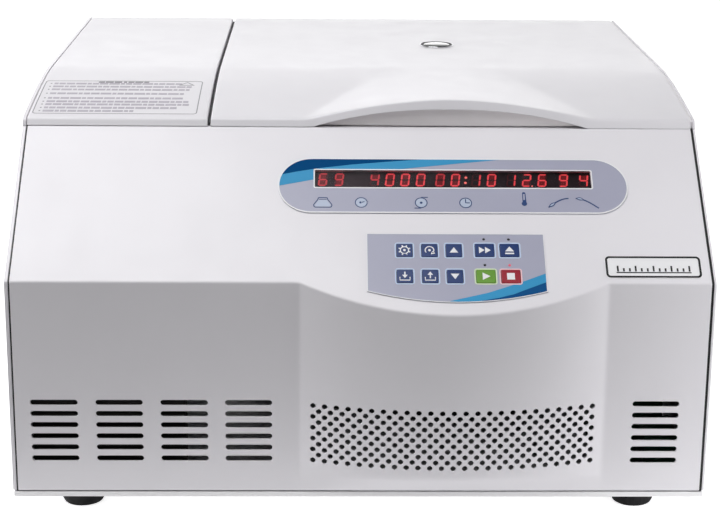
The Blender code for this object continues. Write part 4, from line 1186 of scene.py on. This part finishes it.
def leaf(line, start, end, width):
    """A lens-shaped outline along part of a line."""
    upper, lower = [], []
    for k in range(start, end + 1):
        half = width * math.sin(math.pi * (k - start) / (end - start)) + 0.00002
        offset = line_normal(line, k) * half
        upper.append(tuple(Vector(line[k]) + offset))
        lower.append(tuple(Vector(line[k]) - offset))
    return tidy(upper + lower[::-1])


def run_icons():
    """Run-up and run-down curves, each starting in an open leaf."""
    quarter = math.pi / 2
    shares = [k / 16 for k in range(17)]
    climb = [(0.1762 + 0.0195 * t, 0.0876 + 0.0104 * math.sin(t * quarter)) for t in shares]
    fall = [(0.2025 + 0.0210 * t, 0.0980 - 0.0112 * (1 - math.cos(t * quarter))) for t in shares]
    for part, shape, material, rise in (
        ("icon", lambda line: stroke(line, 0.0013), "print_navy", 0.0),
        ("leaf", lambda line: leaf(line, 0, 6, 0.0017), "print_navy", 0.0001),
        ("leaf_fill", lambda line: leaf(line, 1, 5, 0.0008), "icon_tint", 0.0002),
    ):
        for run, line in (("run_up_", climb), ("run_down_", fall)):
            ink(run + part, [shape(line)], material, base=FILM_TOP + rise)


display_icons()
temperature_icon()
run_icons()


# ----------------------------------------------------------------------- keypad
def keypad_bottom(x):
    """The sagging lower edge."""
    t = (x - PAD_LEFT) / (PAD_RIGHT - PAD_LEFT)
    return PAD_LOW - PAD_SAG * (1 - (2 * t - 1) ** 2)


def keypad_outline(side, edge):
    """The keypad's outline, inset at the sides and at the lower and upper edge."""
    left, span = PAD_LEFT + side, PAD_RIGHT - PAD_LEFT - 2 * side
    stations = [left + span * k / 32 for k in range(33)]
    loop = [(x, keypad_bottom(x) + edge) for x in stations]
    return loop + [(PAD_RIGHT - side, PAD_HIGH - edge), (left, PAD_HIGH - edge)]


def keypad_stripe(upper, lower, left):
    """A band to the right border that stays above the lower border."""
    def inside(curve):
        return lambda x: max(curve(x), keypad_bottom(x) + 0.0009)

    return ribbon(inside(upper), inside(lower), left, PAD_RIGHT - 0.0009, 40)


# upper edges of the two stripes in the lower right of the keypad, as (u, v)
CYAN_STRIPE = (
    (0.0787, -0.0176), (0.0950, -0.0135), (0.1148, -0.0083),
    (0.1380, 0.0003), (0.1496, 0.0049), (0.1690, 0.0132),
)
BLUE_STRIPE = (
    (0.1066, -0.0174), (0.1240, -0.0138), (0.1380, -0.0099), (0.1496, -0.0047), (0.1690, 0.0036),
)


def cyan_top(x):
    return line_at(CYAN_STRIPE, x)


def blue_top(x):
    return line_at(BLUE_STRIPE, x) if x > BLUE_STRIPE[0][0] else -0.1


plate("keypad_film", [keypad_outline(0.0, 0.0)] + KEY_HOLES, 0.0002, FILM_TOP, "overlay_film",
      bevel=0.0002, replaces="keypad_overlay")
ink("keypad_border", [keypad_outline(0.0, 0.0), keypad_outline(0.0007, 0.0008)], "print_white",
    depth=0.00008)
ink("keypad_stripe_cyan", [keypad_stripe(cyan_top, lambda x: blue_top(x) + 0.00003, 0.0800)],
    "print_cyan")
ink("keypad_stripe_blue", [keypad_stripe(blue_top, lambda x: -1.0, 0.1085)], "print_blue_low")

KEY_COLOURS = {"start": "green", "stop": "red"}  # the others are blue
for colour in ("blue", "green", "red"):
    surrounds = []
    for key in KEYS:
        if KEY_COLOURS.get(key[0], "blue") == colour:
            surrounds.append(key_loop(key, 0.0016, 0.0026, 5))
            surrounds.append(key_loop(key, FIT, 0.0012, 4))
    ink("key_surround_" + colour, surrounds, "halo_" + colour, depth=0.00014)

TRAY_MARK = stroke([(-0.0046, -0.0010), (-0.0046, -0.0044), (0.0046, -0.0044),
                    (0.0046, -0.0010)], 0.0010)


def gear_tooth(angle):
    cos, sin = math.cos(angle), math.sin(angle)
    inner, outer = 0.0043, 0.0057
    return stroke([(inner * cos * 0.99, inner * sin * 0.99), (outer * cos, outer * sin)], 0.0012)


# loops of each key's symbol about the key's centre
KEY_MARKS = {
    "up": [[(-0.0040, -0.0026), (0.0040, -0.0026), (0.0, 0.0034)]],
    "down": [[(-0.0040, 0.0028), (0.0, -0.0032), (0.0040, 0.0028)]],
    "start": [[(-0.0030, -0.0040), (0.0042, 0.0), (-0.0030, 0.0040)]],
    "stop": [rectangle(-0.0036, 0.0036, -0.0036, 0.0036)],
    "fast": [
        [(-0.0052, -0.0036), (0.0, 0.0), (-0.0052, 0.0036)],
        [(0.0004, -0.0036), (0.0056, 0.0), (0.0004, 0.0036)],
    ],
    "open": [
        rectangle(-0.0042, 0.0042, -0.0044, -0.0028),
        [(-0.0042, -0.0014), (0.0042, -0.0014), (0.0, 0.0042)],
    ],
    "set": [circle(0, 0, 0.0043, 28), circle(0, 0, 0.0033, 28), circle(0, 0, 0.0013, 16)]
    + [gear_tooth(math.radians(22.5 + 45 * k)) for k in range(8)],
    "rcf": [
        stroke(arc(0, 0, 0.0040, -50, 220, 24), 0.0010),
        [(0.0010, -0.0046), (0.0052, -0.0036), (0.0026, -0.0008)],
        circle(0, 0, 0.0013, 16),
    ],
    "save": [TRAY_MARK, [
        (-0.0006, 0.0048), (0.0006, 0.0048), (0.0006, 0.0014), (0.0026, 0.0014),
        (0.0, -0.0022), (-0.0026, 0.0014), (-0.0006, 0.0014),
    ]],
    "call": [TRAY_MARK, [
        (-0.0006, -0.0022), (-0.0006, 0.0014), (-0.0026, 0.0014), (0.0, 0.0050),
        (0.0026, 0.0014), (0.0006, 0.0014), (0.0006, -0.0022),
    ]],
}
CAP_TOP = 0.0015

for name, u, v, width in KEYS:
    body, node = "button_" + name, "key_" + name
    centre = FASCIA @ Matrix.Translation((u, v, 0))
    cap_loop = rounded(-width / 2, width / 2, -KEY_HEIGHT / 2, KEY_HEIGHT / 2, 0.0013, 5)
    plate(node + "_cap", [cap_loop], -0.0019, CAP_TOP, KEY_COLOURS.get(name, "blue") + "_key",
          matrix=centre, bevel=0.0004, steps=3, body=body, replaces=node)
    plate(node + "_symbol", KEY_MARKS[name], CAP_TOP + 0.00001, CAP_TOP + 0.00009,
          "print_white", matrix=centre, body=body)

# pilot lamps above four of the keys: key, u, v, material
LAMP_PROFILE = [(0.0, 0.0008), (0.0007, 0.0007), (0.0011, 0.0004), (0.0013, 0.0), (0.0, 0.0)]
for label, u, v, material in (
    ("fast", 0.1133, 0.0508, "print_black"),
    ("open", 0.1363, 0.0507, "print_black"),
    ("start", 0.1132, 0.0220, "print_black"),
    ("stop", 0.1359, 0.0219, "led_lit"),
):
    place = FASCIA @ Matrix.Translation((u, v, FILM_TOP + 0.00001))
    finish_piece(lathe("lamp_" + label, LAMP_PROFILE, 24, place), material)


# --------------------------------------------------------------- printed plates
def badge():
    """A framed plate with a row of ticks, to the right on the fascia."""
    place = FASCIA @ Matrix.Translation((0.2683, 0.0209, 0.0))
    print_base = 0.00036
    plate("badge_plate", [rounded(-0.0445, 0.0445, -0.0123, 0.0123, 0.0045, 8)],
          0.00005, 0.00035, "print_white", matrix=place)
    border = [rounded(-0.0440, 0.0440, -0.0118, 0.0118, 0.0040, 8),
              rounded(-0.0420, 0.0420, -0.0098, 0.0098, 0.0023, 8)]
    ink("badge_frame", border, "print_black", base=print_base, matrix=place)
    ticks = []
    for k in range(13):
        u = -0.0330 + 0.0055 * k
        tall = 0.0062 if k % 3 == 0 else 0.0036
        ticks.append(rectangle(u - 0.0008, u + 0.0008, -0.0050, -0.0050 + tall))
    ticks.append(rectangle(-0.0345, 0.0345, -0.0068, -0.0056))
    ink("badge_scale", ticks, "print_black", base=print_base, matrix=place)


NOTICE_LEFT, NOTICE_RIGHT, NOTICE_NEAR, NOTICE_FAR = -0.3178, -0.1583, -0.1668, -0.0645
# number that varies the bars' lengths, y, share of the notice's width
NOTICE_ROWS = (
    (0, -0.0745, 0.90), (1, -0.0846, 0.97), (2, -0.0945, 0.96),
    (3, -0.1074, 0.93), (4, -0.1217, 0.95), (6, -0.1320, 0.97),
    (7, -0.1405, 0.98), (8, -0.1500, 0.90), (9, -0.1590, 0.62),
)
# left end, length
NOTICE_HEADING = (
    (-0.2640, 0.0060), (-0.2570, 0.0080), (-0.2480, 0.0075), (-0.2385, 0.0030),
    (-0.2340, 0.0060), (-0.2270, 0.0080), (-0.2180, 0.0050),
)


def cover_print(name, loops, material):
    """Flat loops in plan, laid on the cover's curved top."""
    mesh = outline_mesh(name, loops, 0.0, 0.00012)
    with editing(mesh) as build:
        long_edges = [edge for edge in build.edges if edge.calc_length() > 0.012]
        bmesh.ops.subdivide_edges(build, edges=long_edges, cuts=6, use_grid_fill=True)
        bmesh.ops.triangulate(build, faces=build.faces)
        for vert in build.verts:
            vert.co.z += top_height(vert.co.y) + 0.00004
    finish_piece(shade(new_object(name, mesh), 35), material)


def notice():
    """Notice on the left cover: a frame, bars in place of words, and a blank triangle."""
    line, corner = 0.0009, 0.004
    frame_loops = [
        rounded(NOTICE_LEFT + inset, NOTICE_RIGHT - inset, NOTICE_NEAR + inset,
                NOTICE_FAR - inset, corner - inset, 4)
        for inset in (0.0, line)
    ]
    cover_print("notice_frame", frame_loops, "print_grey")
    bars = []
    for number, y, share in NOTICE_ROWS:
        x = NOTICE_LEFT + 0.0095
        end = NOTICE_LEFT + 0.006 + (NOTICE_RIGHT - NOTICE_LEFT - 0.012) * share
        step = 0
        while x < end - 0.003:
            stop = min(x + 0.0040 + 0.0022 * ((number * 7 + step * 5) % 4), end)
            bars.append(rectangle(x, stop, y - 0.0024, y + 0.0024))
            x = stop + 0.0011
            step += 1
    cover_print("notice_bars", bars, "print_pale")
    bullets = [rectangle(NOTICE_LEFT + 0.0055, NOTICE_LEFT + 0.0072, y - 0.001, y + 0.001)
               for _, y, _ in NOTICE_ROWS]
    cover_print("notice_bullets", bullets, "print_grey")
    heading = [rectangle(x, x + length, NOTICE_FAR - 0.0068, NOTICE_FAR - 0.0022)
               for x, length in NOTICE_HEADING]
    cover_print("notice_heading", heading, "print_grey")
    base = NOTICE_FAR - 0.0140
    triangle = [(-0.1810, base), (-0.1670, base), (-0.1740, NOTICE_FAR - 0.0045)]
    cover_print("notice_triangle", outlined(triangle, 0.0010), "print_grey")


badge()
notice()

# ------------------------------------------------------------------ side panels
SIDE_FRONT = FRONT_Y + 0.0003
SIDE_BACK = side_high.y
# (y, z) of a corner, reach of its rounding
SIDE_CORNERS = [
    ((SIDE_FRONT, PANEL_BOTTOM + 0.0002), 0.0045),
    ((SIDE_BACK, PANEL_BOTTOM + 0.0002), 0.0030),
    ((SIDE_BACK, TOP_Z - 0.0005), 0.0030),
    *[((y, top_height(y) - 0.0005), 0.0) for y in [SHOULDER_Y * k / 12 for k in range(13)]],
    ((LIP_Y + 0.0036, top_height(LIP_Y) - 0.0005), 0.0042),
    ((LIP_Y + 0.0018, LIP_LOW + 0.0002), 0.0),
    ((CREST_Y, CREST_Z - 0.0003), 0.0),
    ((SIDE_FRONT + EASE, KINK_Z + EASE * FASCIA_SLOPE - 0.0003), 0.0018),
]
SCREWS = (  # y, z
    (-0.296, 0.048), (-0.010, 0.048), (0.322, 0.048), (-0.296, 0.206),
    (0.322, 0.206), (-0.120, 0.338), (0.100, 0.352), (0.322, 0.352),
)


def side_loops():
    """Outline, vents and screw holes of a side panel."""
    corners = [point for point, _ in SIDE_CORNERS]
    loop = []
    for k, (point, reach) in enumerate(SIDE_CORNERS):
        if reach:
            after = corners[(k + 1) % len(corners)]
            loop += curve_corner(corners[k - 1], point, after, reach, 5)
        else:
            loop.append(point)
    vents = []
    for y in (0.020, 0.160):
        for z in [0.080 + row * 0.016 for row in range(6)]:
            vents.append(rounded(y, y + 0.080, z, z + 0.006, 0.0029, 6))
    return [loop] + vents + [circle(y, z, 0.0038, 24) for y, z in SCREWS]


def front_seal_loop():
    ends = (SIDE_CORNERS[0][0], SIDE_CORNERS[-1][0])
    return [(y + 0.0010, z) for y, z in ends] + [
        (CREST_Y + 0.0009, CREST_Z - 0.0006),
        (CREST_Y + 0.0080, CREST_Z - 0.0006),
        (SIDE_FRONT + 0.0085, KINK_Z - 0.0040),
        (SIDE_FRONT + 0.0085, PANEL_BOTTOM + 0.0002),
    ]


def top_seal_loop():
    start, back = SHOULDER_Y + 0.006, SIDE_BACK - 0.0040
    upper = [(LIP_Y + 0.0040, LIP_LOW + 0.0006), (LIP_Y + 0.0056, top_height(LIP_Y) - 0.0014)]
    upper += [(y, top_height(y) - 0.0018) for y in [start - start * k / 10 for k in range(11)]]
    upper += [(back, TOP_Z - 0.0018)]
    lower = [(y, z - 0.0060) for y, z in upper[-2:1:-1]]
    return upper + [(back, TOP_Z - 0.0080)] + lower + [(LIP_Y + 0.0120, LIP_LOW + 0.0006)]


def screw_heads():
    """Round heads with a cross recess."""
    arm, half = 0.0018, 0.00045
    cross = [
        (half, half), (half, arm), (-half, arm), (-half, half), (-arm, half), (-arm, -half),
        (-half, -half), (-half, -arm), (half, -arm), (half, -half), (arm, -half), (arm, half),
    ]
    loops = []
    for y, z in SCREWS:
        loops.append(circle(y, z, 0.0033, 24))
        loops += moved([cross], y, z)
    return loops


def side(label, sign, edge, seam):
    """A side panel with its seals and screws; sign is the side's direction along x."""
    inner = edge + sign * seam

    def across(name, loops, start, end, material, **options):
        low, high = sorted((start, end))
        plate(name, loops, low, high, material, matrix=YZ, **options)

    across(f"side_panel_{label}_sheet", side_loops(), inner, sign * side_high.x, "white_paint",
           bevel=0.0006, steps=3, replaces="side_panel_" + label)
    seal_end = inner - sign * 0.0001
    across("front_seal_" + label, [front_seal_loop()], edge + sign * 0.0001, seal_end,
           "black_plastic")
    # the top seal is pale as painted light in the joint under the covers
    across("top_seal_" + label, [top_seal_loop()], sign * (INNER + 0.0002), seal_end,
           "seat_rubber_painted_light")
    across("side_screws_" + label, screw_heads(), sign * 0.3236, sign * 0.3247, "alloy",
           bevel=0.0003)
    seats = [circle(y, z, 0.0036, 20) for y, z in SCREWS]
    across("side_screw_seats_" + label, seats, sign * 0.3205, sign * 0.3238, "dark_steel")


side("right", sign=1, edge=EDGE_RIGHT, seam=0.0026)
side("left", sign=-1, edge=EDGE_LEFT, seam=0.0016)

# ------------------------------------------------------------- kept CAD nodes
refine("base_tray", width=0.0006)
for node in (
    "rear_panel", "chamber_deck", "rotor_head", "lock_body", "hinge_bracket_left",
    "hinge_bracket_right", "lid_hinge_arm_left", "lid_hinge_arm_right", "latch_striker",
    "power_inlet", "power_rocker", "condenser", "fan_shroud", "power_board", "control_board",
):
    refine(node, width=0.0005)
for node in ("foot_front_left", "foot_front_right", "foot_rear_left", "foot_rear_right"):
    refine(node, width=0.0008, angle=28, join_flat=False)
for number in range(1, 5):
    refine(f"bucket_{number}", width=0.0006, angle=35, join_flat=False)
for node, obj in NODES.items():
    obj.data.materials.clear()
    # the condenser takes the near-black fins, painted shade behind the slots
    material = "fins_painted_shade" if node == "condenser" else SLOT_OF[node]
    obj.data.materials.append(MATERIALS[material])
    if not obj.modifiers:
        refine(node, width=0.0003, steps=1, angle=40, join_flat=False, keep_sharp=False)


# ------------------------------------------------------------------ sight glass
def sight_glass():
    """A domed lens, dark as painted shade of the chamber beneath it, in a black seal with a thin
    bright ring round it.
    """
    place = Matrix.Translation((SIGHT_X, SIGHT_Y, 0))
    # profiles are radius, z
    bezel = lathe("sight_ring", [
        (0.0181, 0.3757), (0.0181, 0.3765), (0.0184, 0.3769),
        (0.0187, 0.3769), (0.0190, 0.3765), (0.0190, 0.3757),
    ], 72, place)
    finish_piece(bezel, "chrome_trim", "lid_assembly", "sight_glass_bezel")
    seal = lathe("sight_seal", [
        (0.0152, 0.3748), (0.0152, 0.3766), (0.0156, 0.3771), (0.0170, 0.3772),
        (0.0176, 0.3769), (0.0180, 0.3763), (0.0180, 0.3757), (0.0170, 0.3748),
    ], 72, place)
    finish_piece(seal, "seal_rubber", "lid_assembly")
    radius, foot, rise = 0.0151, 0.3762, 0.00185
    angles = [math.radians(a) for a in range(10, 100, 10)]
    dome = [(radius * math.sin(a), foot + rise * math.cos(a)) for a in angles]
    profile = [(0.0, foot + rise)] + dome + [(radius, 0.3476), (0.0, 0.3476)]
    finish_piece(lathe("sight_lens", profile, 64, place), "lens_painted_shade", "lid_assembly",
                 "sight_glass")


sight_glass()


# ------------------------------------------------------------- stage and camera
def look_matrix(position, yaw, pitch, roll):
    """A camera's matrix; yaw turns from +Y toward +X and pitch turns down, in degrees."""
    yaw, pitch, roll = math.radians(yaw), math.radians(pitch), math.radians(roll)
    level = math.cos(pitch)
    ahead = Vector((math.sin(yaw) * level, math.cos(yaw) * level, -math.sin(pitch)))
    right = Vector((math.cos(yaw), -math.sin(yaw), 0.0))
    up = right.cross(ahead)
    rolled_right = right * math.cos(roll) + up * math.sin(roll)
    rolled_up = up * math.cos(roll) - right * math.sin(roll)
    return frame_matrix(Vector(position), rolled_right, rolled_up, -ahead)


def add_camera():
    data = bpy.data.cameras.new("camera")
    data.lens = 90.3
    data.sensor_width = 36.0
    data.sensor_fit = "HORIZONTAL"
    data.clip_start = 0.01
    place = look_matrix((-0.0361, -1.8901, 0.7133), yaw=1.246, pitch=16.130, roll=0.545)
    bpy.context.scene.camera = new_object("camera", data, place)


def floor_material():
    """Bright round the object and darker further out, but white everywhere to the camera."""
    material, graph, shader = material_graph("floor_white")
    camera_ray = graph.node("ShaderNodeLightPath").outputs["Is Camera Ray"]
    # distance from the centre, with x counted short
    inputs = {"Scale": (0.55, 1.0, 0.0), "Vector": graph.coordinates["Object"]}
    flat = graph.node("ShaderNodeMapping", inputs).outputs["Vector"]
    length = graph.node("ShaderNodeVectorMath", {0: flat}, operation="LENGTH")
    distance = length.outputs["Value"]
    reach = graph.remap(distance, low=0.80, high=0.06, start=0.46, end=0.64)
    grey = graph.mix_value(camera_ray, first=reach, second=0.92)
    channels = {channel: grey for channel in ("Red", "Green", "Blue")}
    colour = graph.node("ShaderNodeCombineColor", channels).outputs["Color"]
    camera_glow = graph.remap(distance, low=0.74, high=0.98, start=0.40, end=0.95)
    seen_glow = graph.math("MULTIPLY", camera_ray, camera_glow)
    near_glow = graph.remap(distance, low=0.21, high=0.0, start=0.39, end=0.45)
    graph.feed(shader, {
        "Roughness": 0.9,
        "Specular IOR Level": 0.0,
        "Base Color": colour,
        "Emission Color": (1, 1, 1, 1),
        "Emission Strength": graph.math("MAXIMUM", seen_glow, near_glow),
    })
    return material


def add_floor():
    mesh = bpy.data.meshes.new("floor")
    with editing(mesh) as build:
        bmesh.ops.create_grid(build, x_segments=2, y_segments=2, size=8.0)
    floor = new_object("floor", mesh)
    mesh.materials.append(floor_material())


def softbox(name, position, target, width, height, power):
    data = bpy.data.lights.new(name, "AREA")
    data.shape = "RECTANGLE"
    data.size = width
    data.size_y = height
    data.energy = power
    light = new_object(name, data)
    light.location = position
    direction = Vector(target) - Vector(position)
    light.rotation_euler = direction.to_track_quat("-Z", "Y").to_euler()
    return light


def add_world():
    """A pale wall behind the object and a dim room in front of it; white to the camera."""
    world = bpy.data.worlds.new("studio")
    bpy.context.scene.world = world
    world.use_nodes = True
    graph = Graph(world.node_tree)
    camera_ray = graph.node("ShaderNodeLightPath").outputs["Is Camera Ray"]
    direction = {"Vector": graph.coordinates["Generated"]}
    axes = graph.node("ShaderNodeSeparateXYZ", direction).outputs
    behind = graph.remap(axes["Y"], low=0.07, high=1.65, start=-0.10, end=0.45,
                         interpolation_type="SMOOTHSTEP")
    # brightest near the horizon, so that it shows in the flat tops seen at a low angle
    fade = graph.remap(axes["Z"], low=1.0, high=0.20, start=0.20, end=0.55,
                       interpolation_type="SMOOTHSTEP")
    room = graph.math("MULTIPLY", behind, fade)
    graph.feed(world.node_tree.nodes["Background"], {
        "Strength": graph.mix_value(camera_ray, first=room, second=1.0),
        "Color": (1, 1, 1, 1),
    })


add_camera()
add_floor()
softbox("softbox_key", position=(-0.72, -0.72, 2.10), target=(0, -0.05, 0.25),
        width=1.5, height=1.5, power=37.9)
right_box = softbox("softbox_right", position=(0.75, -0.54, 0.240), target=(0.20, -0.33, 0.15),
                    width=0.34, height=0.28, power=2.5)
right_box.visible_camera = False
left_box = softbox("softbox_left", position=(-1.32, -0.465, 0.20), target=(-0.05, -0.345, 0.15),
                   width=0.34, height=0.28, power=3.95)
left_box.visible_camera = False
add_world()

view = bpy.context.scene.view_settings
view.view_transform = "Standard"
view.look = "None"
view.exposure = 0.0
view.gamma = 1.0
